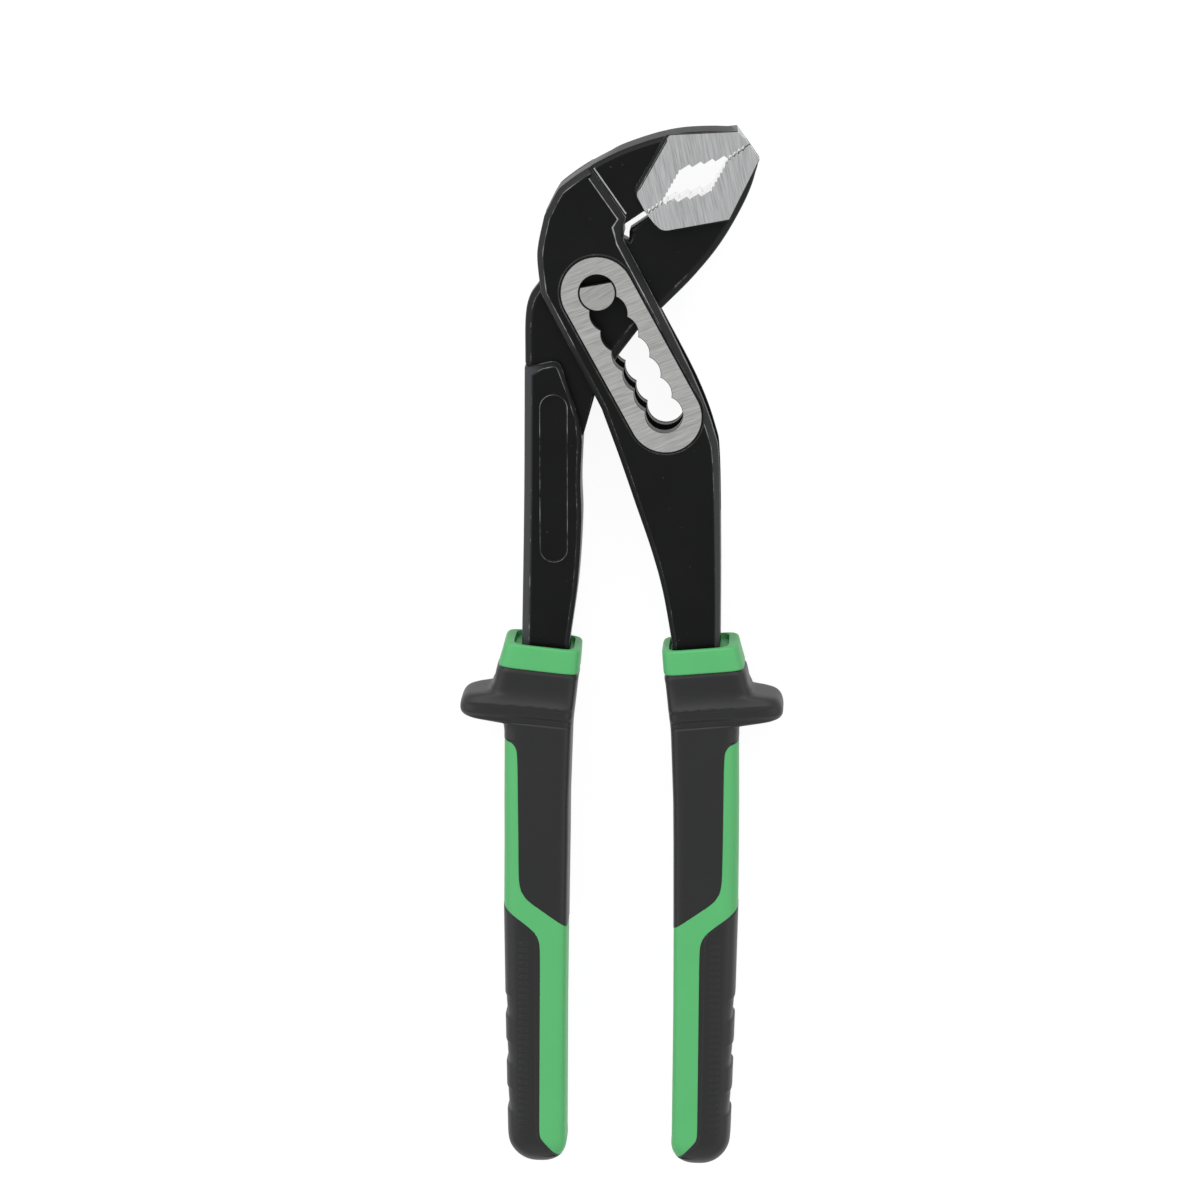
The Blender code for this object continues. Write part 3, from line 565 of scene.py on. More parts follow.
def facing(shape, way):
    """The shape for the front (1), or for the rear (-1) with heights negated and faces listed backwards."""
    points, faces, kinds, wear = shape
    return points * (1, 1, way), [face[::way] for face in faces], kinds, wear


def steel_piece(name, shape, finishes, finish_of, body, node=None):
    """A shape as a piece: a kind of face that is named gets the finish of that number, others the first."""
    points, faces, kinds, wear = shape
    which = np.array([finish_of.get(kind, 0) for kind in range(MARKED + 1)])[kinds]
    belongs(make_piece(name, points, faces, finishes, which, wear), body, node or body)


print("sides:", [hand for hand, way in SIDES])

# %% [markdown]
# ## Points and curves of the drawing
# The slot runs down to the right, and the jaws meet on a line that rises to the right. Points could all be
# given in X and Y, but along and across those two lines they are round numbers that can be checked on the
# tool. Nearly all measures are the solid model's own, drawn here with more steps. A few follow the picture
# more closely than the solids do.

# %% Lines of the drawing
def turn(degrees):
    """Unit vector at an angle from +X."""
    return np.array([math.cos(math.radians(degrees)), math.sin(math.radians(degrees))])


SLOT_SLOPE, JAW_SLOPE, JAW_HEEL, JAW_LENGTH = 61.4, 34.3, np.array([13.1, 22.2]), 34.7
ALONG_SLOT, LEFT_OF_SLOT = turn(-SLOT_SLOPE), turn(-SLOT_SLOPE - 90)
ALONG_JAW, ABOVE_JAW = turn(JAW_SLOPE), turn(JAW_SLOPE + 90)


def slot_points(path):
    """Points given along the slot from its first notch and to the left of it."""
    path = np.atleast_2d(np.array(path, float))
    return path[:, :1] * ALONG_SLOT + path[:, 1:] * LEFT_OF_SLOT


def jaw_points(path):
    """Points given along the jaw line from its heel and above it."""
    path = np.atleast_2d(np.array(path, float))
    return JAW_HEEL + path[:, :1] * ALONG_JAW + path[:, 1:] * ABOVE_JAW


print("slot runs", np.round(ALONG_SLOT, 3), "jaws run", np.round(ALONG_JAW, 3))

# %% [markdown]
# ## The ground land and the notched slot
# Round the slot the box stands a little proud and is ground bright, on a low black foot. The slot is seven
# round notches that run into each other. Seven cylinders could be cut out with booleans, which leave
# ragged edges to bevel. Here the slot's outline is one array of circle arcs, down one side and back up the
# other. It opens the land, its foot and both cheeks, a hair wider each time so that no two walls coincide.

# %% Outline of the slot and its land
NOTCHES, PITCH, NOTCH_RADIUS, LAND_RADIUS, LAND_LONGER = 7, 6.45, 5.2, 10.2, 0.8
SLOT_END = ALONG_SLOT * PITCH * (NOTCHES - 1)


def arc(centre, radius, start, end, steps):
    """Points on a circle from one angle to another."""
    a = np.radians(np.linspace(start, end, steps + 1))
    return np.array(centre) + radius * np.stack([np.cos(a), np.sin(a)], 1)


def slot_outline(radius, steps=14):
    """Arcs between the points where neighbouring notches meet, the end notches a quarter turn longer."""
    reach = math.degrees(math.asin(PITCH / 2 / radius))
    first = np.r_[90.0, np.full(NOTCHES - 1, reach)]
    last = np.r_[np.full(NOTCHES - 1, reach), 90.0]
    t = (np.arange(steps) / steps)[None]
    down = -SLOT_SLOPE - 90 - first[:, None] + t * (first + last)[:, None]
    back_up = -SLOT_SLOPE + 90 - last[::-1, None] + t * (first + last)[::-1, None]
    angle = np.radians(np.vstack([down, back_up]))
    along = PITCH * np.r_[np.arange(NOTCHES), np.arange(NOTCHES)[::-1]]
    ring = np.stack([np.cos(angle), np.sin(angle)], -1) * radius
    return (along[:, None, None] * ALONG_SLOT + ring).reshape(-1, 2)


def land_outline(radius):
    """Half a circle round each end of the slot."""
    upper = arc((0, 0), radius, 90 - SLOT_SLOPE, 270 - SLOT_SLOPE, 40)
    lower = arc(SLOT_END + LAND_LONGER * ALONG_SLOT, radius, 270 - SLOT_SLOPE, 450 - SLOT_SLOPE, 40)
    return np.vstack([upper, lower])


print("slot outline:", len(slot_outline(NOTCH_RADIUS)), "points")

# %% Both lands on their feet
BOX_HALF, LAND_HALF, LAND_LOW, SLIT_HALF = 7.0, 7.35, 6.3, 3.5
FOOT_WIDER, FOOT_RISE, FOOT_CLEAR, CHEEK_CLEAR = 0.75, 0.12, 0.03, 0.06

land_shape = flat_piece(
    edged(land_outline(LAND_RADIUS), 0.12), LAND_LOW, LAND_HALF, 0.5,
    square_back=True, holes=[(slot_outline(NOTCH_RADIUS), 0.1)],
)
foot_shape = flat_piece(
    edged(land_outline(LAND_RADIUS + FOOT_WIDER), 0.3, 0.1, 0.7, 0.2), LAND_LOW, BOX_HALF + FOOT_RISE, 0.3,
    square_back=True, holes=[(slot_outline(NOTCH_RADIUS + FOOT_CLEAR), 0.05)],
)
land_finishes, land_faces = [black_steel, land_ground, slot_steel], {FRONT: 1, HOLE_WALL: 2}
dark_finishes, dark_faces = [black_steel, slot_steel], {HOLE_WALL: 1}
for hand, way in SIDES:
    land, foot = facing(land_shape, way), facing(foot_shape, way)
    steel_piece(hand + "_slot_land", land, land_finishes, land_faces, "slotted_lever")
    steel_piece(hand + "_land_foot", foot, dark_finishes, dark_faces, "slotted_lever")

# %% [markdown]
# ## The box and its neck
# The box is two cheeks with a slit between them, and the tongue of the other lever passes through it. One
# block could be slit with a boolean, but two flat pieces leave the slit open by themselves. Each cheek has
# a wide bevel, and its neck thins towards the handle. Below the slit the cheeks are one with the neck, so
# a core fills the space between them there. A bright line marks the foot of the step up to the cheek.

# %% Curves of the box and neck
COLLAR_TOP, LEVER_END = -100.5, -105.5
TANG_LEFT, TANG_RIGHT = 20.95, 34.35
STEP_TOP, STEP_FOOT, BACK_END = np.array([-2.0, 35.0]), np.array([7.9, 21.0]), np.array([-14.7, 21.0])
HOOK = np.array([7.0, 18.0])
CURVE_STEPS = 14
STEP_AT = 3 * CURVE_STEPS


def smooth(path, steps=CURVE_STEPS):
    """A cubic through the points whose slope at each is half the way between its two neighbours."""
    p = np.array(path, float)
    p = np.vstack([2 * p[0] - p[1], p, 2 * p[-1] - p[-2]])
    t = (np.arange(steps) / steps)[None, :, None]
    a, b, c, d = (p[k : len(p) - 3 + k][:, None] for k in range(4))
    curve = b + 0.5 * ((c - a) * t + (2 * a - 5 * b + 4 * c - d) * t**2 + (3 * b - a - 3 * c + d) * t**3)
    return np.vstack([curve.reshape(-1, p.shape[1]), p[-2:-1]])


nose = jaw_points([(JAW_LENGTH - 1.5, 5.0)])[0]
jaw_back = smooth([nose, (22.1, 44.2), (8.65, 40.3), STEP_TOP, (-9.25, 29.95), (-11.5, 27.3), BACK_END])
box_left = slot_points([(-7.0, 14.0), (29.5, 14.8)])
upper_left = smooth([BACK_END, (-16.3, 13.5), (-16.6, 8.5), box_left[0]])
neck_left = smooth(
    [box_left[1], (6.0, -46.5), (10.5, -59.8), (15.0, -73.2), (18.25, -85.3), (TANG_LEFT, COLLAR_TOP)]
)
print("points on the curves:", len(jaw_back), len(upper_left), len(neck_left))

# %% Outline of a cheek
def cheek_right(give):
    """Right side of a cheek, next to the lower jaw, set in by a give: the neck, then two points above it."""
    top, middle, shoulder = slot_points([(-9.0, give - 13.2), (0.0, give - 13.1), (11.5, give - 12.95)])
    neck = [(TANG_RIGHT, COLLAR_TOP), (34.3, -75.0), (33.8, -48.2), (32.4, -39.2), (27.25, -25.4), shoulder]
    return smooth(neck), [middle, top]


def cheek_outline(give):
    """Edge of one cheek, from the top of the step round by the left, with a bevel for each stretch."""
    neck, above = cheek_right(give)
    wide = np.interp(neck[:, 1], [-90, -55, -25, -10], [1.3, 1.6, 2.0, 2.0])
    # Down the neck the bevel is rubbed barer towards the box and takes less painted sheen there, a lighter
    # colour that stands in for lamp light.
    rub, painted_sheen = (np.interp(neck[:, 1], [-60, -25], ends) for ends in ([0.4, 1.0], [0.6, 0.25]))
    return np.vstack([
        edged(STEP_TOP, 2.0, 1.15, 1.0, 0.12),
        edged(jaw_back[STEP_AT + 1 : -1], 1.6, 1.4, 0.7, 0.3),
        edged(upper_left, 1.6, 1.4, 0.7, 0.3),
        edged(neck_left, np.linspace(1.6, 1.3, len(neck_left)), 1.4),
        edged([(TANG_LEFT, LEVER_END), (TANG_RIGHT, LEVER_END)], 0.4),
        edged(neck, wide, wide, rub, painted_sheen),
        edged(above, 1.9, 2.6, 1.0, 0.2),
        edged(HOOK, 2.7, 1.6, 0.9, 0.12),
        edged([STEP_FOOT, 0.5 * STEP_FOOT + 0.5 * STEP_TOP], 2.0, 1.15, 1.0, 0.12),
    ])


print("cheek outline:", len(cheek_outline(0.0)), "points")

# %% Both cheeks
TANG_HALF, NECK_THINS, REAR_GIVE = 5.9, -36.0, 0.7


def thinned(shape, start, full):
    """Heights scaled towards the handle: by one down to the start, then evenly to the tang's at the end."""
    points, *rest = shape
    scale = np.interp(points[:, 1], [LEVER_END, start], [TANG_HALF / full, 1.0])
    return (points * np.column_stack([np.ones((len(points), 2)), scale]), *rest)


for (hand, way), give in zip(SIDES, (0.0, REAR_GIVE)):
    opening = [(slot_outline(NOTCH_RADIUS + CHEEK_CLEAR), 0.1)]
    shape = flat_piece(cheek_outline(give), SLIT_HALF, BOX_HALF, 0.25, square_back=True, holes=opening)
    shape = thinned(facing(shape, way), NECK_THINS, BOX_HALF)
    steel_piece(hand + "_cheek", shape, dark_finishes, dark_faces, "slotted_lever")

# %% The line at the foot of the step
LINE_LOW, LINE_HIGH, LINE_GAP, LINE_WIDTH = 5.0, 5.72, 0.12, 3.4
ACROSS_STEP = np.array([0.816, 0.578])
beside = LINE_GAP * ACROSS_STEP
scribed = np.vstack([STEP_TOP + (0.75, -0.65), STEP_FOOT + (-0.3, 0.7)]) + beside
scribed = np.vstack([scribed[::-1] + LINE_WIDTH * beside, scribed])[[1, 2, 3, 0]]
line_shape = flat_piece(edged(scribed, 0.1, 0.08, 1.0), LINE_LOW, LINE_HIGH, 0.3, square_back=True)
for hand, way in SIDES:
    points, faces, kinds, wear = facing(line_shape, way)
    # The whole line is marked rubbed bare, and takes the full painted sheen, a lighter colour that stands in
    # for lamp light.
    bright = (points, faces, kinds, np.ones_like(wear))
    steel_piece(hand + "_step_line", bright, [black_steel], {}, "slotted_lever")

# %% The neck between the cheeks
CORE_HALF, CORE_SET_IN, CORE_LEFT_TOP, CORE_RIGHT_TOP = 3.7, 0.05, -82.0, -61.5
neck_right = cheek_right(0.0)[0]
left_edge = neck_left[neck_left[:, 1] < CORE_LEFT_TOP]
right_edge = neck_right[neck_right[:, 1] < CORE_RIGHT_TOP]
neck = np.vstack([left_edge, [(TANG_LEFT, LEVER_END), (TANG_RIGHT, LEVER_END)], right_edge])
neck = neck + CORE_SET_IN * mitres(neck)
core_shape = flat_piece(edged(neck, 0.04), -CORE_HALF, CORE_HALF, 0.4)
steel_piece("neck_core", core_shape, [black_steel], {}, "slotted_lever")

# %% [markdown]
# ## The jaws
# Each jaw bites with a face that is ground bright and stands above the black web. Fine teeth run along the
# jaw line and the short flanks of the diamond-shaped mouth, coarse ones along its long flanks. Teeth could
# be an array of wedges set against the jaw, but wedges leave seams. Here the line of teeth is part of the
# outline, with hardly any bevel, and the rest of the outline keeps its own.

# %% Lines of teeth
MOUTH_START, MOUTH_END, MOUTH_SHORT, MOUTH_DEPTH = 5.9, 27.3, 9.0, 4.6
FACE_LINE, WEB_LINE = 0.15, 0.22
HEEL_FLAT, NOSE_FLAT, ROOT_AT = 0.6, 1.5, 0.8


def teeth(start, end, count, depth):
    """Saw teeth on a line: tips at even steps and, at eight tenths of each, a root set back to the left."""
    start, end = np.array(start, float), np.array(end, float)
    step = (end - start) / count
    side = np.array([-step[1], step[0]]) / np.hypot(*step)
    tips = start + step * np.arange(count)[:, None]
    return np.stack([tips, tips + ROOT_AT * step + depth * side], 1).reshape(-1, 2)


def tooth_line(side, line, start, end):
    """Upper (1, heel to nose) or lower (-1, nose to heel) line of teeth, a set distance from the jaw line."""
    line, deep = side * line, side * (MOUTH_DEPTH + line - FACE_LINE)
    heel, lips = (HEEL_FLAT, line), [(MOUTH_START, line), (MOUTH_END, line)]
    nose_end = (JAW_LENGTH - NOSE_FLAT, line)
    if side > 0:
        turns = [heel, lips[0], (MOUTH_START + MOUTH_SHORT, deep), lips[1], nose_end]
    else:
        turns = [nose_end, lips[1], (MOUTH_END - MOUTH_SHORT, deep), lips[0], heel]
    counts_and_depths = [(4, 0.5), (7, 0.5), (4, 0.9), (4, 0.5)]
    runs = [teeth(a, b, *kind) for a, b, kind in zip(turns, turns[1:], counts_and_depths)]
    return jaw_points(np.vstack([[(start, line)], *runs, [turns[-1], (end, line)]]))


upper_teeth = tooth_line(1, FACE_LINE, 0.25, JAW_LENGTH - 0.05)
lower_teeth = tooth_line(-1, FACE_LINE, JAW_LENGTH - 0.05, 0.25)
print("points on the lines of teeth:", len(upper_teeth), len(lower_teeth))

# %% Noses ground back
WEB_HALF, FACE_HALF = 5.6, 6.6
NOSE_SLANT, NOSE_FROM, NOSE_FULL, LESS_ABOVE = 0.1, 28.0, 33.5, 0.45


def soft_step(x, low, high):
    """0 below, 1 above, and 3t^2 - 2t^3 between."""
    t = np.clip((np.asarray(x, float) - low) / (high - low), 0, 1)
    return t * t * (3 - 2 * t)


def on_jaw(points):
    """How far points lie along the jaw line and above it."""
    return (points[:, :2] - JAW_HEEL) @ ALONG_JAW, (points[:, :2] - JAW_HEEL) @ ABOVE_JAW


def nose_ground(shape):
    """Both noses ground back towards the rear in proportion to depth, most of all next to the jaw line."""
    points, *rest = shape
    along, above = on_jaw(points)
    depth = NOSE_SLANT * (FACE_HALF - points[:, 2])
    back = depth * soft_step(along, NOSE_FROM, NOSE_FULL) * (1 - LESS_ABOVE * soft_step(above, 1.0, 4.6))
    return (points - np.column_stack([back[:, None] * ALONG_JAW, 0 * back]), *rest)


print("nose slant, mm:", round(NOSE_SLANT * 2 * FACE_HALF, 2))

# %% Upper jaw: the black web
BELLY, BELLY_FADES, HIDDEN_BEVEL, SIDE_POINTS = 0.75, (30, 41), 0.05, 8
web = np.vstack([
    edged(jaw_back[:STEP_AT], 1.1, 0.9, 0.15, 0.0),
    edged(jaw_back[STEP_AT:-1], HIDDEN_BEVEL),
    edged(upper_left[upper_left[:, 1] > 17.8], HIDDEN_BEVEL),
    edged([(-15.3, 17.5), (-14.66, 17.5), (-8.43, 18.3)], HIDDEN_BEVEL),
    edged(arc((0, 0), 16.95, 98, 66, 12), HIDDEN_BEVEL),
    edged([(7.2, 15.9), HOOK + (0.05, -0.05)], 0.3),
    edged(jaw_points([(-6.6, 0.55), (0.0, 0.55)]), 0.35),
    edged(tooth_line(1, WEB_LINE, 0.05, JAW_LENGTH), HIDDEN_BEVEL),
])
# Where the cheek covers it, the web is drawn in by a hair, so that their two sides don't coincide.
number = np.arange(len(web))
under_cheek = (number > STEP_AT) & (number < STEP_AT + len(jaw_back[STEP_AT:-1]) + SIDE_POINTS)
web[:, :2] += HIDDEN_BEVEL * under_cheek[:, None] * mitres(web[:, :2])
belly = BELLY * (1 - soft_step(number, *BELLY_FADES)) * ((number > 0) & (number < STEP_AT))
shape = nose_ground(flat_piece(web, -WEB_HALF, WEB_HALF, 0.35, belly=belly))
steel_piece("upper_jaw", shape, [black_steel], {}, "slotted_lever")

# %% Upper jaw: the ground face
FACE_NOSE, FACE_TOP, FACE_HEEL, FACE_FURTHER = (JAW_LENGTH - 0.8, 4.75), (16.9, 13.3), (0.5, 6.8), 1.6


def rounded(before, corner, after, radius, steps=6):
    """A parabola that rounds a corner, from the radius before it to the radius after it."""
    before, corner, after = (np.array(p, float) for p in (before, corner, after))
    first = corner + radius * (before - corner) / np.linalg.norm(before - corner)
    last = corner + radius * (after - corner) / np.linalg.norm(after - corner)
    return parabola(first, corner, last, steps)


widening, narrowing = np.linspace(0.15, 0.9, 7), np.linspace(0.9, 0.3, 7)
upper_face = np.vstack([
    edged(upper_teeth, 0.05, mark=1),
    edged(jaw_points([(JAW_LENGTH - 0.1, 0.6)]), 0.12, mark=1),
    edged(jaw_points([FACE_NOSE]), 0.15),
    edged(jaw_points(rounded(FACE_NOSE, FACE_TOP, FACE_HEEL, 1.2)), widening, rub=0.8),
    edged(jaw_points(rounded(FACE_TOP, FACE_HEEL, (0.25, 0), 2.0)), narrowing, rub=0.8),
])
points, *rest = flat_piece(upper_face, -FACE_HALF, FACE_HALF, 0.25)
further = FACE_FURTHER * soft_step(on_jaw(points)[1], 6.0, 13.3) * soft_step(points[:, 2], 0.0, 6.0)
points[:, :2] += further[:, None] * ABOVE_JAW
shape, ground = nose_ground((points, *rest)), {FRONT: 1, BACK: 1, MARKED: 1}
steel_piece("upper_jaw_face", shape, [black_steel, jaw_ground], ground, "slotted_lever")

# %% [markdown]
# ## The inner lever
# The other forging carries the lower jaw on a thin tongue through the slit of the box, and thickens again
# into the left handle, which has a long shallow recess with round ends. One outline can't have three
# thicknesses, and sculpting would blur the corners, so three flat pieces overlap to make it: tongue, lower
# jaw face and handle.

# %% Tongue
NECK_CORNER, PANEL_TOP = np.array([-0.9, -29.8]), np.array([-20.3, -21.7])
TONGUE_HALF = 3.2
tongue_arc = arc((0, 0), 16.2, 58, 172, 40)
shoulder = smooth([tongue_arc[-1], (-19.05, -2.3), (-20.2, -8.45), PANEL_TOP + (0, 1)])[1:]
under = smooth([(18.25, -4.45), (26.45, 4.05), (33.95, 13.65), (40.35, 25.15), (44.1, 35.0)])
tongue = np.vstack([
    edged(tooth_line(-1, WEB_LINE, JAW_LENGTH, 0.05), 0.05, mark=1),
    edged(jaw_points([(0.0, -1.75), (-3.0, -1.75), (-6.3, -1.75)]), [0.3, 0.4, 1.0], 0.5),
    edged([(8.62, 16.4), (8.6, 15.6)], 1.5, 0.9),
    edged(tongue_arc, 0.4),
    edged(shoulder, 1.6, 1.3),
    edged([PANEL_TOP + (2, -6), PANEL_TOP + (12, -26), NECK_CORNER + (-3.0, -10.7)], 0.1),
    edged([NECK_CORNER, (5.6, -18.7), (10.9, -11.6)], [0.6, 2.4, 2.4], [0.6, 1.7, 1.7]),
    edged(under, np.linspace(1.8, 1.3, len(under)), 1.1, 0.35),
    edged(jaw_points([(JAW_LENGTH, -5.0)]), 0.5),
])
shape = nose_ground(flat_piece(tongue, -TONGUE_HALF, TONGUE_HALF, 0.5))
steel_piece("tongue", shape, [black_steel, tooth_cut], {MARKED: 1}, "inner_lever")

# %% Lower jaw: the ground face
LOW_HEEL, LOW_FOOT = (0.5, -6.8), (18.3, -14.5)
lower_face = np.vstack([
    edged(lower_teeth, 0.05, mark=1),
    edged(jaw_points(rounded((0.25, 0), LOW_HEEL, LOW_FOOT, 2.4)), 0.25),
    edged(jaw_points([LOW_FOOT]), 0.25),
    edged(jaw_points([(JAW_LENGTH - 0.15, -5.0), (JAW_LENGTH - 0.05, -0.6)]), 0.12, mark=1),
])
shape = nose_ground(flat_piece(lower_face, -FACE_HALF, FACE_HALF, 0.25))
finishes, ground = [black_steel, jaw_ground, tooth_cut], {FRONT: 1, BACK: 1, MARKED: 2}
steel_piece("lower_jaw_face", shape, finishes, ground, "inner_lever")

# %% Left handle with its recess
HANDLE_HALF, HANDLE_THINS, HANDLE_EDGES = 6.5, -66.0, (-21.35, -7.95)
RECESS_X, RECESS_TOP, RECESS_FOOT, RECESS_RADIUS = -12.2, -32.8, -73.0, 3.8
handle_left = smooth([PANEL_TOP, (-20.6, -60.0), (HANDLE_EDGES[0], COLLAR_TOP)])
handle_right = smooth(
    [(HANDLE_EDGES[1], COLLAR_TOP), (-5.55, -82.7), (-4.5, -65.4), (-4.75, -53.9), (-4.3, -42.5)]
)
handle_side, handle_corner = NECK_CORNER + (-6.1, -0.4), NECK_CORNER + (-9.7, 10.4)
handle = np.vstack([
    # The left edge's bevel takes a strong painted sheen, a lighter colour that stands in for lamp light.
    edged(handle_left, 2.0, 1.8, 0.45, 0.75),
    edged([(x, LEVER_END) for x in HANDLE_EDGES], 0.4),
    edged(handle_right, 1.2),
    edged([NECK_CORNER + (-4.15, -6.4), handle_side], [1.05, 0.9]),
    edged(rounded(handle_side, handle_corner, PANEL_TOP, 2.6), 1.1, np.linspace(1.2, 2.4, 7), 0.7, 0.2),
    edged([0.5 * handle_corner + 0.5 * PANEL_TOP], 1.1, 2.4, 0.7, 0.2),
])
recess = np.vstack([
    arc((RECESS_X, RECESS_TOP), RECESS_RADIUS, 0, 180, 26),
    arc((RECESS_X, RECESS_FOOT), RECESS_RADIUS, 180, 360, 26),
])
# Inset, drop, wear and painted sheen down the recess's rounded rim; the sheen is nil here.
recess_rim = np.array([
    (-0.3, 0, 0, 0), (-0.2, 0, 0.2, 0), (-0.06, 0.05, 0.7, 0), (0.05, 0.2, 0.6, 0),
    (0.16, 0.4, 0.1, 0), (0.35, 0.5, 0, 0), (0.6, 0.5, 0, 0),
])
shape = flat_piece(handle, -HANDLE_HALF, HANDLE_HALF, 0.3, pocket=(recess, recess_rim))
shape = thinned(shape, HANDLE_THINS, HANDLE_HALF)
steel_piece("left_handle", shape, [black_steel], {}, "inner_lever")

# %% [markdown]
# ## The pin
# The pin is round through the tongue and has a flat ground on each end, so that it slips from notch to
# notch only when the handles are swung wide. Its two D-shaped ends lie flush with the ground land, and one
# flat piece serves for both. The shank between them is nearly hidden and could be drawn again, but the
# solid model's own shank is good enough there, so it stays and gets the dark finish.

# %% Two D-shaped heads and the shank
PIN_RADIUS, PIN_FLAT, FLAT_TURN = 5.0, 2.4, 100.9
half_angle = math.degrees(math.acos(PIN_FLAT / PIN_RADIUS))
d_shape = arc((0, 0), PIN_RADIUS, FLAT_TURN + half_angle, FLAT_TURN + 360 - half_angle, 60)
head_shape = flat_piece(edged(d_shape, 0.12), SLIT_HALF, LAND_HALF, 0.5, square_back=True)
head_finishes = [slot_steel, pin_ground]
for hand, way in SIDES:
    head, node = facing(head_shape, way), hand + "_pin_head"
    steel_piece(hand + "_head", head, head_finishes, {FRONT: 1}, "inner_lever", node)
shank = frame["nodes"]["pivot_pin"]
shank.data.materials.clear()
shank.data.materials.append(slot_steel)

# %% [markdown]
# ## How a grip is made
# A grip is a rounded square section that changes slowly down the handle. A box under a Subdivision Surface
# would come close, but the borders between green and black would then have to be cut into it. Here each
# point has an angle round the section and a drop below the collar's top. The green core, the black guard
# sleeve and the black palm pad are three parts of that one surface, so their borders fit without cutting.

# %% The grip's sections
HANDLES = ((-1, "left", "inner_lever"), (1, "right", "slotted_lever"))
HANDLE_MIDDLE, SPREAD_COLLAR, BUTT_START, BUTT_ROUND = 6.5, 23.15, 148.3, 8.0
DROPS = [-5, 0, 6, 12, 19, 25, 46, 78, 110, 146, 156]
OUTER = np.array([31.1, 32.5, 34.05, 36.05, 34.6, 33.0, 33.22, 33.3, 32.75, 32.0, 31.75])
INNER = np.array([11.1, 11.2, 11.6, 12.3, 13.1, 13.8, 14.55, 14.88, 15.08, 15.0, 15.0])
DEPTHS = [8.8, 8.8, 8.7, 8.25, 8.3, 8.4, 8.55, 8.6, 8.6, 8.5, 8.3]
OUTER_POWER = [6, 6, 6, 6, 5.5, 4.6, 4.2, 4.0, 4.0, 3.8, 2.5]
INNER_POWER = [6.5, 6.5, 6.5, 7, 7, 7, 7, 7, 7, 6, 3]
BUTT_DRAWN, BUTT_DRAWS = 0.6, (146.0, 155.0)


def eased(values, drop, ease=3.0):
    """Straight runs between the stations, rounded by a bell-weighted running mean."""
    fine = np.arange(-20, 180, 0.25)
    bell = np.hanning(int(8 * ease) + 1)
    run = np.pad(np.interp(fine, DROPS, values), len(bell) // 2, mode="edge")
    return np.interp(drop, fine, np.convolve(run, bell / bell.sum(), mode="valid"))


def section(drop):
    """Middle and half width of the section at a drop, its middle drawn inwards along the butt."""
    outer, inner = eased(OUTER, drop), eased(INNER, drop)
    return (outer + inner) / 2 - BUTT_DRAWN * soft_step(drop, *BUTT_DRAWS), (outer - inner) / 2


def power(drop, side):
    """Power n of the section at a drop, on its outer side (above 0) or on its inner side."""
    return np.where(side > 0, eased(OUTER_POWER, drop), eased(INNER_POWER, drop))


print("grip width below the guard, mm:", np.round(2 * section(46.0)[1], 1))

# %% Points on a grip
COLLAR_TILT, TILT_FADES, APART = {1: 0.09, -1: 0.105}, (8.5, 12.0), {1: 0.3, -1: 0.0}
LEAN, LEAN_FROM, GUARD_FALLS = 0.0067, 58.0, (13.0, 19.0)
RIDGE_HEIGHT, RIDGE_FROM, RIDGE_RUN, RIDGE_TILT = 1.5, 10.5, 7.1, 0.1
NICK_DEPTH, NICK_AT, NICK_WIDE = 0.25, 23.2, 0.3


def across(drop, angle, tuck=0.0):
    """Distance from the handles' middle: the section's middle plus its half width times |cos|^(2/n)."""
    spread, wide = section(drop)
    c = np.cos(angle)
    return spread + np.sign(c) * np.abs(c) ** (2 / power(drop, c)) * np.maximum(wide - tuck, 0)


def ridge(drop, out):
    """Height of the ridge across the front: a ramp steepening to its crest, two steps down and a groove."""
    d = drop + RIDGE_TILT * (out - 24.0)
    ramp = np.clip((d - RIDGE_FROM) / RIDGE_RUN, 0, 1) ** 2.6
    down = 0.4 * soft_step(d, 17.7, 18.6) + 0.6 * soft_step(d, 20.3, 22.0)
    return RIDGE_HEIGHT * ramp * (1 - down) - NICK_DEPTH * np.exp(-(((d - NICK_AT) / NICK_WIDE) ** 2))


def grip_points(side, drop, angle, tuck=0.0, reach=0.0):
    """Section |x/wide|^n + |z/deep|^n = 1, drawn in by the tuck and pushed outwards by the guard's reach.
    The guard's reach falls off as a power of the cosine, so that its front runs into the grip's front."""
    c, s = np.cos(angle), np.sin(angle)
    out = across(drop, angle, tuck)
    deep = eased(DEPTHS, drop) + ridge(drop, out)
    z = np.sign(s) * np.abs(s) ** (2 / power(drop, c)) * np.maximum(deep - tuck, 0)
    out = out + reach * np.maximum(c, 0) ** (1.3 - 0.8 * soft_step(drop, *GUARD_FALLS))
    tilt = COLLAR_TILT[side] * (out - SPREAD_COLLAR) * (1 - soft_step(drop, *TILT_FADES))
    lean = LEAN * np.maximum(drop - LEAN_FROM, 0)
    out, y, z, lean = np.broadcast_arrays(out, COLLAR_TOP - drop + tilt, z, lean)
    return np.stack([HANDLE_MIDDLE - lean + side * (out + APART[side]), y, z], -1)


def border_angle(drop, border, tuck=0.0):
    """The angle at which a section crosses a line at a given distance from the handles' middle."""
    spread, wide = section(drop)
    t = np.clip((border - spread) / np.maximum(wide - tuck, 0.01), -1, 1)
    return np.arccos(np.sign(t) * np.abs(t) ** (power(drop, t) / 2))


print("outermost point below the guard, mm:", np.round(grip_points(1, 46.0, 0.0), 1))

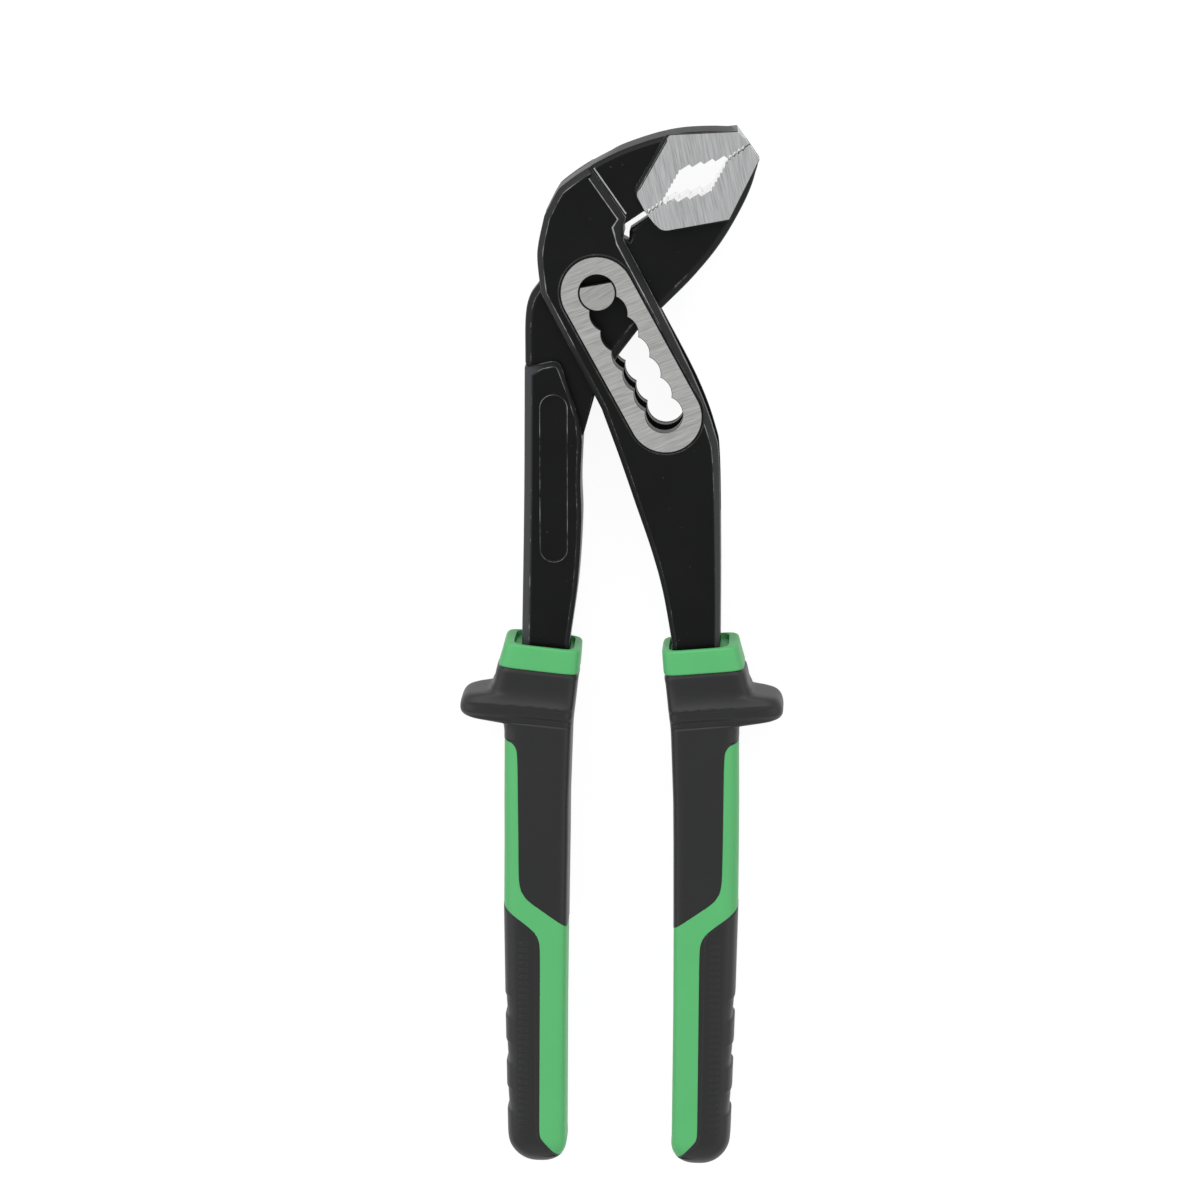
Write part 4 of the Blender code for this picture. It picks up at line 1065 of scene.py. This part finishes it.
# %% Borders between green and black, and even steps round a section
STRIP_BORDER = smooth([(27.6, 34.2), (28.2, 32.6), (28.7, 30.9), (30.0, 29.8), (31.6, 29.35), (36.0, 29.15)])
BAND_TOP = smooth(
    [(56.0, 29.0), (66.0, 28.9), (69.5, 28.75), (71.7, 28.35), (73.2, 27.7), (76.1, 25.1), (84.4, 13.6)]
)
BAND_FOOT = smooth([
    (76.7, 34.2), (77.6, 32.9), (79.2, 31.06), (82.3, 26.85),
    (84.9, 24.0), (87.0, 22.85), (89.5, 22.45), (95.0, 22.35),
])
STRIP_END = smooth(
    [(143.3, 22.4), (145.8, 22.3), (147.4, 21.8), (149.8, 19.85), (152.7, 17.0), (154.8, 12.0)]
)
sleeve_line, pad_line = np.vstack([STRIP_BORDER, BAND_TOP]), np.vstack([BAND_FOOT, STRIP_END])

# Angles lie closer where the section turns its corners, and SHARE is the length up to each angle.
near_middle = np.linspace(0, 1, 1501) ** 3.5
quarter = np.r_[np.linspace(0, math.pi / 2, 1501), np.arcsin(near_middle), np.arccos(near_middle)]
around = np.unique(np.r_[quarter, math.pi - quarter])
trial = grip_points(1, np.array(18.0), around, reach=9.0)
length = np.r_[0, np.cumsum(np.linalg.norm(np.diff(trial, axis=0), axis=1))]
HALF_WAY_ROUND = length[-1]
SHARE = length / HALF_WAY_ROUND
print("half way round a section with its guard, mm:", round(float(HALF_WAY_ROUND), 1))

# %% Turn a grid of grip points into a piece
SKIN_THICK = 0.7


def grid_piece(name, side, rows, finish, closed):
    """Quads between neighbouring rows and columns, listed so that they face outwards on either handle.
    A closed grid joins its last column to its first and gets a flat face at each end."""
    ids = np.arange(rows.shape[0] * rows.shape[1]).reshape(rows.shape[:2])
    here, below = ids[:-1], ids[1:]
    if closed:
        after, below_after = np.roll(here, -1, 1), np.roll(below, -1, 1)
    else:
        here, below, after, below_after = here[:, :-1], below[:, :-1], here[:, 1:], below[:, 1:]
    faces = np.stack([here, after, below_after, below], -1).reshape(-1, 4)[:, ::side].tolist()
    if closed:
        faces += [ids[0][::-side].tolist(), ids[-1][::side].tolist()]
    return make_piece(name, rows.reshape(-1, 3), faces, [finish], weld=not closed, sharp=40.0)


def thickened(piece):
    """The sheet given a thickness inwards, which closes it along its borders."""
    wall = piece.modifiers.new("wall", "SOLIDIFY")
    wall.thickness, wall.offset = SKIN_THICK * MM, -1.0
    return piece


print("skin thickness, mm:", SKIN_THICK)

# %% [markdown]
# ## The green core
# The hard core is moulded round the steel. Its collar stands open at the top round the lever, and below
# the collar it shows only as a strip, an S-shaped band and a palm strip between the black skins. It could
# be a plain bar painted in two colours, but the skins on the real grip stand proud of it. So one closed
# surface runs from the floor of the collar's mouth over the rim and down the outside to the butt, and
# sinks a little wherever a skin covers it.

# %% Outside of the core
RING = np.interp(np.linspace(0, 1, 97), SHARE, around)
FULL_RING = np.r_[RING, 2 * math.pi - RING[-2:0:-1]]
SHOWN_SUNK, HIDDEN_SUNK, UNDER_SKIN = 0.08, 1.1, (0.5, 1.6)
BODY_DROPS = np.r_[7.6:27.0:1.2, 27.0:40.0:0.4, 40.0:68.0:2.0, 68.0:94.0:0.4, 94.0:142.0:2.0, 142.0:148.3:0.5]
FAR, RIM_DROP, RIM_ROUND, BUTT_TURN = 60.0, 0.35, 0.75, 78


def sunk(drop, angle):
    """How far the core lies below the grip's surface: a hair where it shows, more where a skin covers it."""
    out = across(drop, angle)
    sleeve = np.interp(drop, sleeve_line[:, 0], sleeve_line[:, 1], left=FAR, right=-FAR) - out
    pad = out - np.interp(drop, pad_line[:, 0], pad_line[:, 1], left=FAR, right=-FAR)
    covered = np.maximum(soft_step(sleeve, *UNDER_SKIN), soft_step(pad, *UNDER_SKIN))
    return SHOWN_SUNK + HIDDEN_SUNK * covered * soft_step(drop, 7.4, 7.8)


def outer_rings(side):
    """Sections with a drop and a tuck: round the rim, down the collar and the body, and into the butt."""
    bend = np.radians(np.linspace(90, 0, 7))
    top = np.column_stack([RIM_DROP + RIM_ROUND * (1 - np.sin(bend)), RIM_ROUND * (1 - np.cos(bend))])
    collar = np.array([(3.0, 0), (4.5, 0), (6.0, 0), (6.9, 0), (7.25, 0.03), (7.45, 0.15)])
    body = np.column_stack([BODY_DROPS, np.zeros(len(BODY_DROPS))])
    butt = np.radians(np.linspace(0, BUTT_TURN, 14))
    end = np.column_stack([BUTT_START + BUTT_ROUND * np.sin(butt), BUTT_ROUND * (1 - np.cos(butt))])
    path = np.vstack([top, collar, body, end])
    buried = np.r_[np.zeros(len(top) + len(collar)), np.ones(len(body) + len(end))][:, None]
    tuck = path[:, 1:] + buried * sunk(path[:, :1], FULL_RING[None])
    return grip_points(side, path[:, :1], FULL_RING[None], tuck)


print("points round the core:", len(FULL_RING))

# %% Collar's mouth, and both cores
MOUTH_MIDDLE, MOUTH_WIDE, MOUTH_DEEP, MOUTH_POWER = 21.6, 8.3, 7.8, 0.3


def mouth_ring(side):
    """Edge of the collar's mouth, a section of a high power on the collar's tilted top."""
    c, s = np.cos(FULL_RING), np.sin(FULL_RING)
    out = MOUTH_MIDDLE + MOUTH_WIDE * np.sign(c) * np.abs(c) ** MOUTH_POWER
    z = MOUTH_DEEP * np.sign(s) * np.abs(s) ** MOUTH_POWER
    y = COLLAR_TOP - RIM_DROP + COLLAR_TILT[side] * (out - SPREAD_COLLAR)
    return np.stack([HANDLE_MIDDLE + side * (out + APART[side]), y, z], -1)


def core_rings(side):
    """Rings from the floor of the mouth to its edge, over the rim as a mix of two rings, and down outside."""
    outer, mouth = outer_rings(side), mouth_ring(side)
    share = np.array([1.0, 0.92, 0.8, 0.5, 0.2])[:, None, None]
    rim = share * mouth[None] + (1 - share) * outer[:1]
    rim[0, :, 1] -= 0.2
    deep = mouth[None] - np.array([1.6, 1.5, 1.2, 0.6])[:, None, None] * (0, 1, 0)
    return np.vstack([deep, rim, outer])


for side, hand, body in HANDLES:
    made = grid_piece(hand + "_core", side, core_rings(side), green_plastic, closed=True)
    belongs(made, body, hand + "_grip_core")

# %% [markdown]
# ## The black sleeve and its thumb guard
# The sleeve wraps all round below the collar, throws out a thick guard that keeps the thumb off the joint,
# and lower down leaves the outer strip bare until it ends at the band. A guard could be a lump joined on,
# with a seam. Here the rows themselves follow the guard's outline. Columns run from border to border, and
# the last fraction of a millimetre rolls down into the core.

# %% Columns of a skin
NEAR_BORDER, ROLL_WIDTH, ROLL_DEPTH = np.array([0, 0.1, 0.22, 0.36, 0.5]), 0.5, 0.4
SHORT_ROW, NO_LENGTH, SLEEVE_COLUMNS, PAD_COLUMNS = 3.0, 1e-6, 150, 120


def columns(span, count):
    """Shares across rows of given lengths, closer next to both borders, and distances from the borders."""
    ends = NEAR_BORDER[None] * np.minimum(1, span / SHORT_ROW)[:, None] / span[:, None]
    middle = ends[:, -1:] + np.linspace(0, 1, count)[None, 1:-1] * (1 - 2 * ends[:, -1:])
    u = np.hstack([ends, middle, 1 - ends[:, ::-1]])
    return u, np.minimum(u, 1 - u) * span[:, None]


def rolled_down(far, rolled):
    """Depth of a rolled border: a quarter of an ellipse over the last half millimetre of a rolled row."""
    return ROLL_DEPTH * (1 - np.sqrt(1 - np.clip(1 - far / ROLL_WIDTH, 0, 1) ** 2)) * rolled[:, None]


def skin_rows(side, drop, low, tuck, reach, rolled):
    """Rows from the low angle on the front by the inner side to the same on the rear, evenly by length."""
    low_share = np.interp(low, around, SHARE)
    high_share = np.where(low > 0, 2 - low_share, 2.0)
    span = np.maximum((high_share - low_share) * HALF_WAY_ROUND, NO_LENGTH)
    u, far = columns(span, SLEEVE_COLUMNS)
    share = low_share[:, None] + u * (high_share - low_share)[:, None]
    rear = 2 * math.pi - np.interp(2 - share, SHARE, around)
    angle = np.where(share <= 1, np.interp(share, SHARE, around), rear)
    return grip_points(side, drop[:, None], angle, tuck[:, None] + rolled_down(far, rolled), reach[:, None])


print("columns next to a border:", len(NEAR_BORDER))

# %% Rows of the sleeve, and both sleeves
STRIP_START, COLLAR_TUCK = 27.6, 0.55
# Drop and distance of the guard's outline from the handles' middle; 0 keeps to the grip itself.
GUARD = np.array([
    (7.0, 0), (9.0, 0), (11.0, 0), (12.6, 36.5), (13.4, 36.8), (14.0, 37.8), (14.35, 39.8), (14.7, 42.0),
    (15.4, 43.9), (17.1, 45.1), (19.4, 45.45), (20.9, 44.9), (21.8, 43.2), (22.3, 41.0), (22.7, 38.0),
    (23.0, 35.6), (23.3, 34.2), (23.8, 0), (25.0, 0), (26.4, 0),
])
beyond = np.maximum(GUARD[:, 1] - sum(section(GUARD[:, 0])), 0)
guard_path = smooth(np.column_stack([GUARD[:, 0], beyond]), 7)
seam_rows = np.arange(26.5, 28.2, 0.12)
lower_rows = np.r_[np.arange(28.3, 36, 0.4), np.arange(36, 66, 1.5), np.arange(66, 84.4, 0.4), 84.39]
sleeve_drop = np.r_[guard_path[:, 0], seam_rows, lower_rows]
sleeve_reach = np.r_[np.maximum(guard_path[:, 1], 0), np.zeros(len(seam_rows) + len(lower_rows))]
border = np.interp(sleeve_drop, sleeve_line[:, 0], sleeve_line[:, 1], left=40.0)
low = np.where(sleeve_drop < STRIP_START, 0.0, border_angle(sleeve_drop, border))
sleeve_tuck = COLLAR_TUCK * (1 - soft_step(sleeve_drop, 7.2, 9.0))
sleeve_rolled = soft_step(sleeve_drop, STRIP_START, 28.4)
for side, hand, body in HANDLES:
    rows = skin_rows(side, sleeve_drop, low, sleeve_tuck, sleeve_reach, sleeve_rolled)
    made = thickened(grid_piece(hand + "_sleeve", side, rows, black_rubber, closed=False))
    belongs(made, body, hand + "_guard_sleeve")

# %% [markdown]
# ## The palm pad
# The lower black skin starts as a point on the outer side below the band, keeps to the outer half of the
# grip and closes all round the butt. Three shallow finger grooves cross its outer side, and a column of
# short ribs runs down its front and rear. A bump map could fake the ribs, but they would not be in the
# mesh itself, so they are raised here. It is the sleeve's method again, with its borders
# counted from the outer middle in both directions.

# %% Rows and borders of the pad
straight = np.r_[np.arange(76.8, 86, 0.4), np.arange(86, BUTT_START, 0.25)]
butt = np.radians(np.linspace(0, 90, 30))
pad_drop = np.r_[straight, BUTT_START + BUTT_ROUND * np.sin(butt), BUTT_START + BUTT_ROUND]
pad_tuck = np.r_[np.zeros(len(straight)), BUTT_ROUND * (1 - np.cos(butt)), BUTT_ROUND + 1.0]
border = np.interp(pad_drop, pad_line[:, 0], pad_line[:, 1], right=5.0)
half_way = border_angle(pad_drop, border, pad_tuck)
pad_rolled = 1 - soft_step(pad_drop, 152.2, 153.4)
print("pad rows:", len(pad_drop))

# %% Grooves and ribs of the pad
GROOVES, GROOVE_DEPTH = np.array([(104.2, 111.0), (118.2, 125.3), (132.3, 139.7)]), 0.6
RIB_PITCH, RIB_HEIGHT, RIB_COLUMN, RIBS_FROM, RIBS_TO = 2.0, 0.16, 27.0, (84.0, 88.0), (142.0, 146.0)


def grooved(drop):
    """Depth of the finger grooves: each deepens slowly downwards and ends in a short step."""
    start, end = GROOVES[:, 0], GROOVES[:, 1]
    d = np.asarray(drop)[:, None]
    deepening = 0.6 * soft_step(d, start - 0.3, start + 0.9) + 0.4 * soft_step(d, start, end)
    return GROOVE_DEPTH * (deepening * (1 - soft_step(d, end - 0.3, end + 0.2))).sum(1)


def ribbed(drop, angle):
    """Height of the short ribs: one rise in each pitch, kept to a narrow column and off the pad's ends."""
    rise = soft_step(np.cos(2 * math.pi * drop / RIB_PITCH), 0.2, 0.9)
    column = 1 - soft_step(np.abs(across(drop, angle) - RIB_COLUMN), 1.0, 1.5)
    return RIB_HEIGHT * rise * column * soft_step(drop, *RIBS_FROM) * (1 - soft_step(drop, *RIBS_TO))


print("grooves:", len(GROOVES), "ribs in a column:", round((RIBS_TO[1] - RIBS_FROM[0]) / RIB_PITCH))

# %% Both pads
LINE_FROM_BORDER, LINE_WIDE, LINE_DEPTH = 1.6, 0.3, 0.16


def pad_rows(side):
    """Rows that run as far to the rear of the outer middle as to the front, grooved on the outer side.
    A fine line is pressed in beside the border, a bell in the distance from it."""
    share = np.interp(half_way, around, SHARE)
    u, far = columns(np.maximum(2 * share * HALF_WAY_ROUND, NO_LENGTH), PAD_COLUMNS)
    signed = (2 * u - 1) * share[:, None]
    angle = np.sign(signed) * np.interp(np.abs(signed), SHARE, around)
    pressed = LINE_DEPTH * np.exp(-(((far - LINE_FROM_BORDER) / LINE_WIDE) ** 2)) * pad_rolled[:, None]
    dip = rolled_down(far, pad_rolled) + pressed - ribbed(pad_drop[:, None], angle)
    groove = -grooved(pad_drop)[:, None] * soft_step(np.cos(angle), 0.35, 0.75)
    points = grip_points(side, pad_drop[:, None], angle, pad_tuck[:, None] + dip)
    return points + side * groove[..., None] * (1, 0, 0)


for side, hand, body in HANDLES:
    made = thickened(grid_piece(hand + "_pad", side, pad_rows(side), black_rubber, closed=False))
    belongs(made, body, hand + "_palm_pad")
